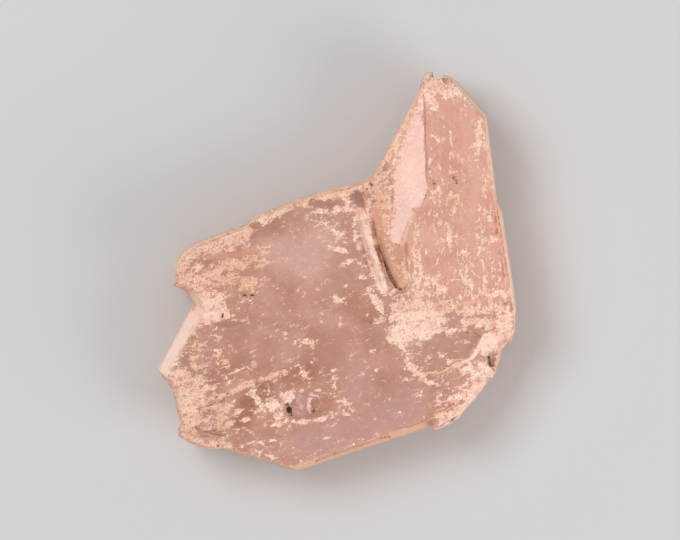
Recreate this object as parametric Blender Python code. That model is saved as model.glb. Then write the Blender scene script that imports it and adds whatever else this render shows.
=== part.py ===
"""A pink quartz cluster: two flat crystals grown together in a V, lying on its back.

A wide crystal runs to the left and a tall one stands up beside it. Their front faces look up,
and Z = 0 is the flat back of the wide crystal. The origin is the middle of the base.
Run it with: blender --background --python part.py
Sizes are in millimetres, and mm() turns them into Blender's metres.
"""

import math
import random

import bmesh
import bpy
from mathutils import Euler, Vector

# ---- driving dimensions, in mm ----
WIDE_FRONT = 12.6  # height of the wide crystal's front face
TALL_FRONT = 13.2  # height of the tall crystal's front face
SHEATH_FRONT = 12.8  # height of the thin layer grown on the tall crystal's right side
CORNER_FRONT = 12.3  # height of the small crystal at the lower right corner
TOOTH_FRONT = 12.5  # height of the tooth at the tip
GIRDLE = 6.5  # height at which the crystals are widest
WIDE_BACK = 0.0
TALL_BACK = 1.1
SHEATH_BACK = 1.9
CORNER_BACK = 2.4
TOOTH_BACK = 4.8
BLOCK = 90.0  # side of the rough block that each crystal is cut from
LAP = 0.05  # how far two neighbouring cutters run into each other

# Each girdle is the crystal's outline at its widest, seen from above, going clockwise.
# An entry is a corner (x, y), then how far the front and the back face stand in
# from the edge that runs from this corner to the next.
WIDE_GIRDLE = (
    ((-24.2, 3.0), 0.9, 2.2),
    ((-22.5, 4.4), 0.8, 2.6),
    ((-13.3, 8.5), 0.6, 3.0),
    ((-5.7, 11.5), 0.6, 3.0),
    ((3.6, 14.0), 0.6, 2.0),
    ((14.0, 13.4), 0.6, 2.0),
    ((27.3, -3.8), 0.6, 2.0),
    ((27.7, -9.4), 0.8, 2.4),
    ((24.6, -15.5), 0.9, 2.8),
    ((21.4, -20.1), 0.9, 3.0),
    ((14.2, -24.2), 1.1, 3.4),
    ((-6.2, -31.0), 0.4, 3.2),
    ((-24.7, -25.7), 0.7, 2.0),
    ((-28.0, -15.4), 0.9, 1.8),
    ((-25.5, 0.7), 0.8, 2.0),
)
TALL_GIRDLE = (
    ((14.1, 30.8), 0.4, 1.6),
    ((17.1, 30.5), 0.4, 1.6),
    ((18.8, 29.5), 0.65, 2.6),
    ((23.3, 24.3), 0.35, 2.8),
    ((26.8, -4.3), 0.5, 2.0),
    ((8.5, -7.2), 0.3, 1.0),
    ((5.3, 6.4), 0.3, 1.0),
    ((5.3, 14.6), 0.45, 2.6),
)
SHEATH_GIRDLE = (
    ((24.4, 11.4), 0.2, 0.8),
    ((25.3, 10.2), 0.3, 1.4),
    ((26.9, 1.8), 0.3, 1.6),
    ((27.9, -5.7), 0.3, 1.6),
    ((27.7, -9.4), 0.5, 1.6),
    ((24.5, -10.5), 0.3, 1.0),
    ((22.5, 6.0), 0.3, 0.5),
)
TOOTH_GIRDLE = (
    ((12.9, 28.9), 0.3, 0.9),
    ((13.0, 29.7), 0.3, 1.2),
    ((13.8, 31.0), 0.2, 1.4),
    ((14.9, 31.0), 0.2, 0.9),
    ((15.2, 30.0), 0.3, 0.7),
    ((15.6, 28.0), 0.4, 0.7),
)
CORNER_GIRDLE = (
    ((13.9, -23.0), 0.5, 1.0),
    ((17.5, -19.5), 0.5, 1.0),
    ((21.3, -19.2), 0.8, 1.4),
    ((21.3, -20.0), 0.7, 2.0),
    ((18.9, -22.9), 0.6, 2.0),
    ((17.3, -23.9), 0.5, 2.0),
    ((15.3, -24.9), 0.7, 1.4),
)

# Larger faces, each cut through three points (x, y, z) of the crystal.
WIDE_FACES = (
    ((-20.5, 1.8, 12.6), (-1.1, 7.8, 12.6), (-13.3, 8.4, 11.6)),  # slope below the top edge
    ((-20.5, -24.9, 12.6), (-0.3, -23.8, 12.6), (-6.8, -30.8, 11.4)),  # slope above the foot
    ((22.6, -9.9, 12.6), (18.4, -20.0, 12.6), (25.7, -12.4, 10.9)),  # right-hand corner
    ((-22.4, 2.4, 12.6), (-22.0, -2.2, 12.4), (-25.4, 0.4, 11.3)),  # upper left corner
    ((-24.6, -15.2, 12.6), (-21.8, -25.4, 12.5), (-26.6, -20.0, 11.6)),  # lower left corner
    ((-20.0, 8.0, 0.0), (10.0, 12.0, 0.0), (-5.0, 14.0, 2.6)),  # back, below the top edge
    ((18.0, -3.0, 0.0), (16.0, -21.0, 0.0), (26.0, -12.0, 3.4)),  # back, right-hand corner
)
TALL_FACES = (
    ((8.0, 15.0, 12.0), (8.0, 5.0, 11.9), (5.3, 14.5, 10.7)),  # slope below the long lit facet
    ((12.0, -5.9, 12.75), (26.0, -4.2, 12.75), (18.0, 0.6, 13.2)),  # slope down to the join
    ((12.0, 30.9, 12.7), (19.5, 29.9, 12.7), (15.0, 27.6, 13.2)),  # frosted slope at the tip
    ((22.9, 24.0, 13.2), (26.0, -4.0, 13.2), (24.2, 18.0, 12.9)),  # narrow slope on the right
    ((9.0, 24.0, 1.1), (9.5, 0.0, 1.1), (6.0, 12.0, 4.6)),  # back, left side
    ((14.0, 24.5, 1.1), (22.0, 20.5, 1.1), (20.0, 27.0, 4.4)),  # back, below the tip
)

# Broken edges with a hollow outline: a point outside, the front and back heights, then the
# edges as start, end, and how far the front and the back of the break stand in.
BITES = {
    "end_notch": (
        (-30.0, -6.0),
        (WIDE_FRONT, WIDE_BACK),
        (
            ((-26.6, -1.6), (-23.2, -3.3), 0.7, 0.9),
            ((-23.2, -3.3), (-22.4, -5.0), 1.3, 0.9),
            ((-22.4, -5.0), (-28.1, -15.6), 2.4, 1.6),
        ),
    ),
    "knob_notch": (
        (-30.0, -1.2),
        (WIDE_FRONT, WIDE_BACK),
        (
            ((-25.5, 0.7), (-24.95, -0.95), 0.5, 1.4),
            ((-24.95, -0.95), (-25.55, -2.1), 0.3, 1.2),
        ),
    ),
    "end_bite": (
        (-29.0, -21.0),
        (WIDE_FRONT, WIDE_BACK),
        (
            ((-28.1, -15.3), (-25.6, -18.4), 0.8, 1.2),
            ((-25.6, -18.4), (-24.5, -23.6), 0.8, 1.2),
            ((-24.5, -23.6), (-25.1, -26.2), 0.7, 1.0),
        ),
    ),
    "top_step": (
        (-20.0, 12.0),
        (WIDE_FRONT, WIDE_BACK),
        (
            ((-21.6, 4.7), (-13.9, 7.5), 0.7, 1.6),
            ((-13.9, 7.5), (-13.3, 8.8), 0.4, 0.8),
        ),
    ),
    "right_bite": (
        (30.0, -14.0),
        (WIDE_FRONT, WIDE_BACK),
        (
            ((27.5, -10.0), (25.6, -12.3), 0.6, 1.2),
            ((25.6, -12.3), (25.1, -14.8), 0.6, 1.2),
        ),
    ),
    "tip_notch": (
        (15.5, 34.0),
        (TALL_FRONT, TALL_BACK),
        (
            ((14.95, 31.2), (15.0, 30.15), 0.1, 0.3),
            ((15.0, 30.15), (15.7, 29.9), 0.1, 0.5),
            ((15.7, 29.9), (17.0, 30.8), 0.1, 0.4),
        ),
    ),
}

# The saddle between the crystals: what the wide one lacks beside the tall one, as an
# outline from above and three points of its sloping floor.
SADDLE = (
    ((4.2, 17.0), (4.5, 12.0), (5.4, 8.4), (6.0, 5.0), (12.0, 2.0), (20.0, 6.0), (20.0, 17.0)),
    ((4.6, 14.5, 10.8), (5.9, 7.0, 11.3), (9.0, 14.0, 10.0)),
)

# Rounded rims: a route of (x, y, z, half width).
GROOVE_RIM = (
    (2.9, 13.0, 11.2, 0.5),
    (3.4, 11.4, 11.6, 0.9),
    (4.0, 9.4, 12.0, 1.05),
    (4.4, 7.2, 12.3, 1.0),
    (5.0, 5.2, 12.35, 1.05),
    (5.6, 3.3, 12.3, 0.95),
    (6.3, 1.7, 12.3, 1.0),
    (6.8, 0.2, 12.25, 0.9),
    (7.3, -1.6, 12.2, 0.85),
    (7.7, -3.4, 12.1, 0.5),
)
FOOT_RIM = (
    (-24.2, -25.2, 10.9, 0.6),
    (-22.4, -26.0, 11.7, 0.75),
    (-20.2, -26.6, 11.8, 0.9),
    (-18.3, -26.8, 11.7, 0.75),
    (-16.6, -26.3, 11.7, 0.4),
)
SIDES_OF_RIM = 8

# Small crystals and lumps fused to the edges: centre, half sizes, turn about Z, seed.
LUMPS = (
    ((-24.3, 0.4, 8.5), (1.3, 1.5, 3.2), 15, 1),
    ((-24.4, -2.0, 7.8), (1.1, 0.8, 3.4), -20, 2),
    ((-22.0, 3.2, 9.4), (1.5, 1.3, 2.6), 30, 3),
    ((-18.0, 5.0, 9.8), (2.4, 0.8, 1.7), 20, 4),
    ((-10.2, 8.9, 9.6), (2.8, 0.8, 1.9), 22, 5),
    ((17.2, -22.6, 8.8), (2.4, 1.1, 2.9), 24, 6),
    ((15.7, -23.8, 10.2), (1.4, 0.8, 1.0), 22, 7),
    ((23.4, -15.9, 9.2), (1.5, 1.4, 1.8), 40, 8),
    ((24.2, -14.4, 10.4), (0.75, 0.8, 0.8), 10, 9),
    ((26.4, -9.9, 9.4), (1.1, 1.5, 2.2), 0, 10),
    ((17.3, 29.6, 11.8), (1.2, 0.8, 1.2), -20, 12),
    ((-17.0, -26.9, 7.0), (3.4, 0.8, 2.6), -14, 13),
    ((5.1, 13.8, 9.6), (1.1, 0.8, 2.0), 25, 15),
    ((24.8, 10.3, 9.0), (0.5, 0.6, 2.6), 5, 16),
    ((-19.6, 4.6, 5.4), (2.2, 0.9, 1.4), 20, 17),
    ((-26.0, -14.2, 4.6), (0.9, 2.4, 1.3), -28, 18),
    ((9.2, -24.6, 4.4), (2.6, 0.8, 1.2), 18, 19),
    ((24.6, -12.4, 6.6), (1.1, 1.9, 1.8), -22, 20),
)

# Thin bars of crystal grown along the sides: where each one starts and ends on the girdle, how
# far the front or back face stands in from the girdle there, then the bar's two heights.
LATHS = (
    ((-23.0, -26.2), (-9.4, -30.1), 3.2, 4.7, 2.3),
    ((-16.5, -28.1), (-7.5, -30.6), 3.2, 2.5, 1.2),
    ((-4.6, -30.5), (13.0, -24.6), 3.4, 4.2, 2.0),
    ((1.0, -28.6), (9.8, -25.7), 3.4, 5.6, 4.0),
    ((-3.2, -30.0), (8.6, -26.1), 1.1, 10.4, 9.2),
    ((21.9, -19.4), (24.3, -15.9), 2.8, 4.8, 2.9),
    ((-13.0, 8.6), (-6.2, 11.3), 3.0, 4.8, 2.6),
    ((-5.0, 11.7), (3.2, 13.9), 3.0, 3.6, 1.8),
    ((-4.0, 12.0), (2.8, 13.8), 0.6, 10.6, 8.6),
    ((23.6, 21.8), (25.9, 3.0), 2.8, 5.2, 3.0),
    ((24.0, 18.5), (26.2, 0.6), 2.8, 3.2, 2.0),
    ((25.4, 9.9), (27.6, -5.0), 0.3, 10.2, 8.4),
    ((-23.3, -6.6), (-27.4, -14.3), 1.6, 4.4, 2.2),
    ((6.2, 16.2), (12.6, 28.0), 2.6, 4.8, 3.2),
)
LATH_PROUD = 0.3  # how far a lath stands out of the side
LATH_DEPTH = 3.0  # how far it runs back into the crystal
LATH_TAPER = 0.08  # how much of its length each end slants over
LATH_SLOPE = 0.25  # how far its long faces stand in, as a share of its height

# Pits, scoops and holes: centre, half sizes, turn about Z.
SCOOPS = (
    ((7.3, 2.5, 15.4), (3.9, 7.2, 4.1), 20),  # the hollow between the two crystals
    ((-4.6, -20.8, 13.2), (4.5, 2.4, 1.4), 7),  # oval crater
)
HOLES = (
    ((-7.4, -21.5, 12.2), (0.40, 0.65, 1.5), 18),
    ((-4.0, -21.3, 12.1), (0.28, 0.38, 1.1), -30),
    ((-14.4, -3.8, 12.6), (0.75, 0.20, 0.7), -8),
    ((18.3, 14.5, 13.2), (0.42, 0.20, 0.6), -40),
    ((14.7, 15.5, 13.2), (0.22, 0.26, 0.5), 0),
    ((15.1, 13.6, 13.2), (0.18, 0.45, 0.5), 30),
    ((16.9, 29.5, 12.9), (0.42, 0.34, 0.9), 20),
    ((24.4, -13.7, 11.7), (0.6, 0.9, 0.7), -25),
    ((-21.5, -18.9, 12.5), (0.30, 0.25, 0.5), 0),
)
# Two small crystals that stand in the crater: centre, half sizes, turn about Z. Each one is a
# four-sided frustum, its foot and top as shares of the half sizes, tilted a little (radians).
CRATER_CRYSTALS = (
    ((-5.6, -20.7, 11.75), (0.95, 1.6, 0.85), 12),
    ((-2.2, -20.7, 11.7), (1.75, 1.4, 0.85), 24),
)
RHOMB_FOOT = 1.15
RHOMB_TOP = 0.62
RHOMB_TILT = (0.16, -0.10, 0)

# Thin growth layers missing from a front face: the outline from above, then three points
# (x, y, z) of the new floor.
FRONT_LAYERS = (
    # below the ledge at the lower left
    (
        ((-30.0, -24.6), (-21.2, -21.0), (-7.6, -15.4), (-19.0, -26.4), (-26.0, -30.0)),
        ((-21.2, -21.0, 12.25), (-7.6, -15.4, 12.6), (-19.0, -26.4, 12.6)),
    ),
    # the long lit facet of the tall crystal, which ends below in a zigzag
    (
        (
            (13.1, 29.0), (13.9, 12.3), (12.9, 9.9), (11.7, 9.7), (9.6, 4.2), (8.2, 4.5),
            (4.0, 4.9), (4.0, 15.0), (11.0, 29.5),
        ),
        ((13.1, 29.0, 13.2), (13.9, 12.3, 13.15), (8.2, 4.5, 11.95)),
    ),
    # the smooth plate at the right-hand corner
    (
        ((22.4, -10.1), (20.4, -13.4), (18.4, -13.9), (14.8, -16.1), (17.5, -8.9), (20.7, -9.3)),
        ((22.4, -10.1, 12.2), (14.8, -16.1, 12.6), (17.5, -8.9, 12.6)),
    ),
    # the pit below the pale facet at the notch
    (
        ((-21.8, -8.4), (-16.2, -7.5), (-10.5, -8.6), (-18.6, -14.0), (-24.0, -14.6)),
        ((-21.4, -8.5, 11.9), (-16.2, -7.5, 12.3), (-18.6, -14.0, 12.6)),
    ),
    # the pale facet itself
    (
        ((-17.5, -4.1), (-16.2, -7.6), (-21.6, -8.5), (-26.0, -9.5), (-26.0, -3.0), (-21.0, -3.2)),
        ((-17.5, -4.1, 12.6), (-16.2, -7.6, 12.6), (-22.0, -6.5, 11.85)),
    ),
    # the valley inside the top edge
    (
        ((-20.6, 2.2), (-13.0, 3.9), (-8.6, 5.8), (-19.8, 0.2)),
        ((-20.6, 2.2, 12.4), (-8.6, 5.8, 12.6), (-19.8, 0.2, 12.6)),
    ),
)
BACK_LAYERS = (
    (
        ((-30.0, 2.0), (-14.0, 3.5), (-8.0, -1.5), (-16.0, -8.0), (-30.0, -11.0)),
        ((-14.0, 3.5, 0.5), (-8.0, -1.5, 0.3), (-24.0, -4.0, 0.7)),
    ),
    (
        ((4.0, -6.0), (14.0, -8.5), (24.0, -30.0), (10.0, -24.0), (6.0, -18.0)),
        ((4.0, -6.0, 0.25), (14.0, -8.5, 0.45), (10.0, -24.0, 0.6)),
    ),
    (
        ((12.5, 22.0), (17.0, 20.0), (18.5, 6.0), (13.0, 8.0)),
        ((12.5, 22.0, 1.5), (17.0, 20.0, 1.7), (13.0, 8.0, 1.4)),
    ),
)

# Edges broken into small steps: start and end (x, y), lowest and highest z, chips, chip size.
BROKEN_EDGES = (
    ((-25.7, -18.8), (-24.4, -25.4), 2.0, 12.2, 15, 0.7),
    ((-24.6, 3.2), (-13.8, 8.0), 3.0, 11.8, 13, 0.75),
    ((-25.9, -2.4), (-25.5, 1.6), 2.5, 11.0, 6, 0.8),
    ((15.4, -25.2), (21.6, -20.6), 2.5, 11.0, 8, 0.75),
    ((21.8, -20.0), (25.0, -15.8), 2.5, 10.6, 8, 0.8),
    ((25.4, -14.8), (28.0, -9.4), 3.0, 10.6, 7, 0.75),
    ((-23.0, -27.0), (-15.0, -29.2), 2.5, 10.0, 8, 0.65),
    ((13.8, 31.4), (19.2, 30.2), 3.0, 12.5, 5, 0.5),
    ((6.6, 17.4), (11.6, 26.6), 4.0, 9.0, 7, 0.55),
    ((-10.0, 10.6), (3.0, 14.6), 3.0, 10.0, 7, 0.65),
)
EDGE_SEED = 7
CHIP_JITTER = 0.2  # how far a chip strays from its edge
CHIP_WIDTH = (0.6, 1.25)  # smallest and largest half width, as a share of the chip size
CHIP_HEIGHT = (0.8, 2.0)  # the same for its half height

PEBBLE_REACH = (0.8, 1.15)  # shortest and longest reach of a pebble's corners
PEBBLE_TILT = 0.5  # the most it leans each way, in radians


def mm(*values):
    """Millimetres as a vector in metres."""
    return Vector(values) * 0.001


def clear_scene():
    for obj in list(bpy.data.objects):
        bpy.data.objects.remove(obj)


def new_collection(name):
    collection = bpy.data.collections.new(name)
    bpy.context.scene.collection.children.link(collection)
    return collection


def helper(name, bm, collection):
    """Turns a bmesh into an object that only takes part in Booleans."""
    mesh = bpy.data.meshes.new(name)
    bmesh.ops.recalc_face_normals(bm, faces=bm.faces[:])
    bm.to_mesh(mesh)
    bm.free()
    obj = bpy.data.objects.new(name, mesh)
    obj.hide_render = True
    obj.display_type = "WIRE"
    collection.objects.link(obj)
    return obj


# ---- cutting crystals from a block ----
def block():
    bm = bmesh.new()
    bmesh.ops.create_cube(bm, size=BLOCK * 0.001)
    return bm


def cleave(bm, point, outward):
    """Cuts away all that lies outside a plane and closes the cut with one flat face."""
    cut = bmesh.ops.bisect_plane(
        bm,
        geom=bm.verts[:] + bm.edges[:] + bm.faces[:],
        dist=1e-7,
        plane_co=point,
        plane_no=outward,
        clear_outer=True,
    )
    rim_edges = [item for item in cut["geom_cut"] if isinstance(item, bmesh.types.BMEdge)]
    if rim_edges:
        bmesh.ops.contextual_create(bm, geom=rim_edges)


def cleave_through(bm, corners, inside):
    """Cuts along the plane through three points, keeping the side that holds inside."""
    a, b, c = (mm(*corner) for corner in corners)
    normal = (b - a).cross(c - a).normalized()
    if normal.dot(inside - a) > 0:
        normal.negate()
    cleave(bm, a, normal)


def inset_point(start, end, inside, distance):
    """The start of an outline's edge moved square to the edge, towards the inside."""
    edge = Vector(end) - Vector(start)
    across = Vector((-edge.y, edge.x)).normalized()
    if across.dot(Vector(inside) - Vector(start)) < 0:
        across.negate()
    return Vector(start) + across * distance


def crystal(girdle, front, back, faces=(), level=GIRDLE):
    """A flat crystal: a block cut to both faces of each girdle edge, then to its larger faces."""
    corners = [corner for corner, _, _ in girdle]
    middle = sum((Vector(corner) for corner in corners), Vector((0, 0))) / len(corners)
    inside = mm(middle.x, middle.y, level)
    bm = block()
    cleave(bm, mm(0, 0, front), Vector((0, 0, 1)))
    cleave(bm, mm(0, 0, back), Vector((0, 0, -1)))
    for number, (start, front_inset, back_inset) in enumerate(girdle):
        end = corners[(number + 1) % len(corners)]
        for height, inset in ((front, front_inset), (back, back_inset)):
            inner = inset_point(start, end, middle, inset)
            cleave_through(bm, ((*start, level), (*end, level), (*inner, height)), inside)
    for face in faces:
        cleave_through(bm, face, inside)
    return bm


def lath(start, end, bevel, front, back):
    """A thin bar of crystal that stands a little out of a sloping side, with slanted ends."""
    level = (front + back) / 2
    face = WIDE_FRONT if level > GIRDLE else WIDE_BACK
    outer = bevel * (level - GIRDLE) / (face - GIRDLE) - LATH_PROUD
    inner = outer + LATH_DEPTH
    taper = (Vector(end) - Vector(start)) * LATH_TAPER
    corners = (
        inset_point(start, end, (0, 0), outer),
        inset_point(end, start, (0, 0), outer),
        inset_point(end, start, (0, 0), inner) - taper,
        inset_point(start, end, (0, 0), inner) + taper,
    )
    side = (front - back) * LATH_SLOPE
    girdle = [((corner.x, corner.y), side, side) for corner in corners]
    return crystal(girdle, front, back, level=level)


# ---- cutters ----
def bite(name, outside, heights, edges, collection):
    """Breaks away what lies outside some edges: one cutter above the girdle, one below it."""
    front, back = heights
    for half, height, level, side in (
        ("front", front, GIRDLE - LAP, 0),
        ("back", back, GIRDLE + LAP, 1),
    ):
        inside = mm(*outside, height)
        bm = block()
        cleave(bm, mm(0, 0, level), Vector((0, 0, level - height)))
        for start, end, *insets in edges:
            inner = inset_point(start, end, outside, -insets[side])
            cleave_through(bm, ((*start, GIRDLE), (*end, GIRDLE), (*inner, height)), inside)
        helper(f"{name}_{half}", bm, collection)


def missing_layer(outline, floor, outward):
    """A prism over an outline, from a sloping floor out past the front (1) or the back (-1)."""
    bm = bmesh.new()
    base = bm.faces.new([bm.verts.new(mm(x, y, GIRDLE)) for x, y in outline])
    sides = bmesh.ops.extrude_face_region(bm, geom=[base])
    moved = [item for item in sides["geom"] if isinstance(item, bmesh.types.BMVert)]
    bmesh.ops.translate(bm, verts=moved, vec=mm(0, 0, outward * TALL_FRONT))
    cleave_through(bm, floor, mm(0, 0, outward * BLOCK))
    return bm


def placed(bm, centre, half_sizes, turn):
    """Scales, turns about Z and moves a unit shape."""
    bmesh.ops.scale(bm, verts=bm.verts, vec=mm(*half_sizes))
    spin = Euler((0, 0, math.radians(turn))).to_matrix()
    bmesh.ops.rotate(bm, verts=bm.verts, cent=(0, 0, 0), matrix=spin)
    bmesh.ops.translate(bm, verts=bm.verts, vec=mm(*centre))
    return bm


def scoop(centre, half_sizes, turn):
    bm = bmesh.new()
    bmesh.ops.create_uvsphere(bm, u_segments=24, v_segments=14, radius=1)
    return placed(bm, centre, half_sizes, turn)


def hole(centre, half_sizes, turn):
    bm = bmesh.new()
    bmesh.ops.create_icosphere(bm, subdivisions=1, radius=1)
    return placed(bm, centre, half_sizes, turn)


def pebble(centre, half_sizes, turn, seed):
    """A small block with twenty flat faces, none of them alike."""
    bm = bmesh.new()
    bmesh.ops.create_icosphere(bm, subdivisions=1, radius=1)
    chance = random.Random(seed)
    for vert in bm.verts:
        vert.co *= chance.uniform(*PEBBLE_REACH)
    leans = [chance.uniform(-PEBBLE_TILT, PEBBLE_TILT) for _ in range(3)]
    tilt = Euler(leans).to_matrix()
    bmesh.ops.rotate(bm, verts=bm.verts, cent=(0, 0, 0), matrix=tilt)
    return placed(bm, centre, half_sizes, turn)


def rhomb(centre, half_sizes, turn):
    """A squat four-sided crystal with a sloped top, one edge of it higher."""
    bm = bmesh.new()
    bmesh.ops.create_cone(
        bm, cap_ends=True, segments=4, radius1=RHOMB_FOOT, radius2=RHOMB_TOP, depth=2
    )
    tilt = Euler(RHOMB_TILT).to_matrix()
    bmesh.ops.rotate(bm, verts=bm.verts, cent=(0, 0, 0), matrix=tilt)
    return placed(bm, centre, half_sizes, turn)


def rim(name, route, collection):
    """A rounded rim along a route: a tube of changing thickness, as a mesh with welded caps."""
    curve = bpy.data.curves.new(name + "_route", "CURVE")
    curve.dimensions = "3D"
    curve.bevel_depth = 0.001
    curve.bevel_resolution = (SIDES_OF_RIM - 4) // 2
    curve.use_fill_caps = True
    spline = curve.splines.new("POLY")
    spline.points.add(len(route) - 1)
    for point, (x, y, z, half_width) in zip(spline.points, route):
        point.co = (*mm(x, y, z), 1)
        point.radius = half_width
    guide = bpy.data.objects.new(name + "_route", curve)
    collection.objects.link(guide)
    graph = bpy.context.evaluated_depsgraph_get()
    mesh = bpy.data.meshes.new_from_object(guide.evaluated_get(graph))
    bm = bmesh.new()
    bm.from_mesh(mesh)
    bmesh.ops.remove_doubles(bm, verts=bm.verts, dist=1e-6)
    bpy.data.objects.remove(guide)
    bpy.data.meshes.remove(mesh)
    return helper(name, bm, collection)


def chip_edges(collection):
    """Knocks small flat-sided chips out of the broken edges, at random along each one."""
    chance = random.Random(EDGE_SEED)
    for run, (start, end, low, high, count, size) in enumerate(BROKEN_EDGES):
        for number in range(count):
            along = (number + chance.uniform(0.1, 0.9)) / count
            spot = Vector(start).lerp(Vector(end), along)
            centre = (
                spot.x + chance.uniform(-CHIP_JITTER, CHIP_JITTER),
                spot.y + chance.uniform(-CHIP_JITTER, CHIP_JITTER),
                chance.uniform(low, high),
            )
            half_sizes = [size * chance.uniform(*CHIP_WIDTH) for _ in range(2)]
            half_sizes.append(size * chance.uniform(*CHIP_HEIGHT))
            turn = chance.uniform(0, 180)
            chip = pebble(centre, half_sizes, turn, run * 100 + number)
            helper(f"chip_{run}_{number}", chip, collection)


# ---- the cluster ----
def quartz_material():
    material = bpy.data.materials.new("pink_quartz")
    material.use_nodes = True
    shader = material.node_tree.nodes["Principled BSDF"]
    shader.inputs["Base Color"].default_value = (0.72, 0.42, 0.32, 1)
    shader.inputs["Roughness"].default_value = 0.55
    shader.inputs["Metallic"].default_value = 0.0
    return material


def boolean(obj, name, operation, collection):
    modifier = obj.modifiers.new(name, "BOOLEAN")
    modifier.operation = operation
    modifier.solver = "EXACT"
    modifier.operand_type = "COLLECTION"
    modifier.collection = collection


def build():
    clear_scene()
    cluster = new_collection("quartz_cluster")
    breaks = new_collection("cutters_of_the_wide_crystal")
    growth = new_collection("crystals_grown_onto_it")
    cutters = new_collection("cutters_of_the_cluster")
    rims = new_collection("rims_and_crystals_on_top")

    for name in ("end_notch", "knob_notch", "end_bite", "top_step", "right_bite"):
        bite(name, *BITES[name], breaks)
    helper("saddle", missing_layer(*SADDLE, 1), breaks)

    helper("tall_crystal", crystal(TALL_GIRDLE, TALL_FRONT, TALL_BACK, TALL_FACES), growth)
    helper("sheath", crystal(SHEATH_GIRDLE, SHEATH_FRONT, SHEATH_BACK), growth)
    helper("corner_crystal", crystal(CORNER_GIRDLE, CORNER_FRONT, CORNER_BACK), growth)
    helper("tooth", crystal(TOOTH_GIRDLE, TOOTH_FRONT, TOOTH_BACK), growth)
    for number, shape in enumerate(LATHS):
        helper(f"lath_{number}", lath(*shape), growth)
    for number, lump in enumerate(LUMPS):
        helper(f"lump_{number}", pebble(*lump), growth)

    bite("tip_notch", *BITES["tip_notch"], cutters)
    for number, shape in enumerate(SCOOPS):
        helper(f"scoop_{number}", scoop(*shape), cutters)
    for number, shape in enumerate(HOLES):
        helper(f"hole_{number}", hole(*shape), cutters)
    for number, layer in enumerate(FRONT_LAYERS):
        helper(f"front_layer_{number}", missing_layer(*layer, 1), cutters)
    for number, layer in enumerate(BACK_LAYERS):
        helper(f"back_layer_{number}", missing_layer(*layer, -1), cutters)
    chip_edges(cutters)

    rim("groove_rim", GROOVE_RIM, rims)
    rim("foot_rim", FOOT_RIM, rims)
    for number, shape in enumerate(CRATER_CRYSTALS):
        helper(f"crater_crystal_{number}", rhomb(*shape), rims)

    bm = crystal(WIDE_GIRDLE, WIDE_FRONT, WIDE_BACK, WIDE_FACES)
    body = helper("quartz_cluster", bm, cluster)
    body.hide_render = False
    body.display_type = "TEXTURED"
    body.data.materials.append(quartz_material())
    boolean(body, "break the wide crystal", "DIFFERENCE", breaks)
    boolean(body, "grow together", "UNION", growth)
    boolean(body, "break and pit", "DIFFERENCE", cutters)
    boolean(body, "grow the rims", "UNION", rims)


build()
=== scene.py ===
# %% [markdown]
# # Dressing a cluster of pink quartz
#
# The cluster is one piece of mineral: a wide flattened crystal with a taller one grown onto its right end.
# Its main planes, ledges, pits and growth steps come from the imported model, which is loaded here as a frame
# and never moved. This script gives that form its skin: the smooth rosy windows, the rough cream crust, the
# stains, the fine cracks and the light in which it lies.

# %% The frame
import math

import bmesh
import bpy
import numpy as np
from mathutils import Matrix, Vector, noise
from mathutils.bvhtree import BVHTree
from mathutils.kdtree import KDTree


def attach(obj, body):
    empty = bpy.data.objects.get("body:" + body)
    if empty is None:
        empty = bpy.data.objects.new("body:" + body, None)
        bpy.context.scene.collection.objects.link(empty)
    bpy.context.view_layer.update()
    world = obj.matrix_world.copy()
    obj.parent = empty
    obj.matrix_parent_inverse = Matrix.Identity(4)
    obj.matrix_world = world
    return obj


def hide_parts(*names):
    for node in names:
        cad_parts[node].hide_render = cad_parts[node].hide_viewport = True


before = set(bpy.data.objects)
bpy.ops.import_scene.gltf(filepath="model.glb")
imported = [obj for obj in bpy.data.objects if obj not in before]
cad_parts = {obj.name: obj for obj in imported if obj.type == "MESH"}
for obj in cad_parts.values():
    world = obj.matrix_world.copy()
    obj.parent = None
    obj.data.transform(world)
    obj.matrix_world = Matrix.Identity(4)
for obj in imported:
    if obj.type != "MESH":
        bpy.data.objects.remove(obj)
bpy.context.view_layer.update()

MM = 0.001

# %% [markdown]
# ## The camera
#
# The cluster lies on its back and is seen from straight above. A near camera would spread its sides out,
# and one without perspective would hide them. A long lens far away shows just a little of them. The width
# of the view covers 105.4 mm of the plane of the front faces.

# %% A camera looking straight down
VIEW_WIDTH = 105.4 * MM
VIEW_CENTRE = (0.465 * MM, 0.2325 * MM)
FRONT_PLANE = 12.8 * MM
CAMERA_HEIGHT = 2.0
SENSOR_WIDTH = 36
FAR_CLIP = 5

camera_data = bpy.data.cameras.new("camera above the table")
camera_data.sensor_width = SENSOR_WIDTH
camera_data.lens = SENSOR_WIDTH * (CAMERA_HEIGHT - FRONT_PLANE) / VIEW_WIDTH
camera_data.clip_end = FAR_CLIP
camera = bpy.data.objects.new("camera above the table", camera_data)
camera.location = (*VIEW_CENTRE, CAMERA_HEIGHT)
bpy.context.scene.collection.objects.link(camera)
bpy.context.scene.camera = camera
print("the lens is", round(camera_data.lens), "mm long")

# %% [markdown]
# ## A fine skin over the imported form
#
# A crust a tenth of a millimetre thick needs points closer than that form has. The Remesh modifier covers
# it with small even cells, and each new point is then put back on the nearest face of the form, so that
# the crystal planes stay flat. Cutting the long edges in half would also give more points, but in long
# thin triangles that catch the light.

# %% Cells of a fifth of a millimetre
CELL = 0.2 * MM
SAME_CORNER = 0.001 * MM


def merged_copy(node, name):
    """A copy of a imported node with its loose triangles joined."""
    shape = bmesh.new()
    shape.from_mesh(node.data)
    bmesh.ops.remove_doubles(shape, verts=shape.verts, dist=SAME_CORNER)
    mesh = bpy.data.meshes.new(name)
    shape.to_mesh(mesh)
    shape.free()
    copy = bpy.data.objects.new(name, mesh)
    bpy.context.scene.collection.objects.link(copy)
    return copy


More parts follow.
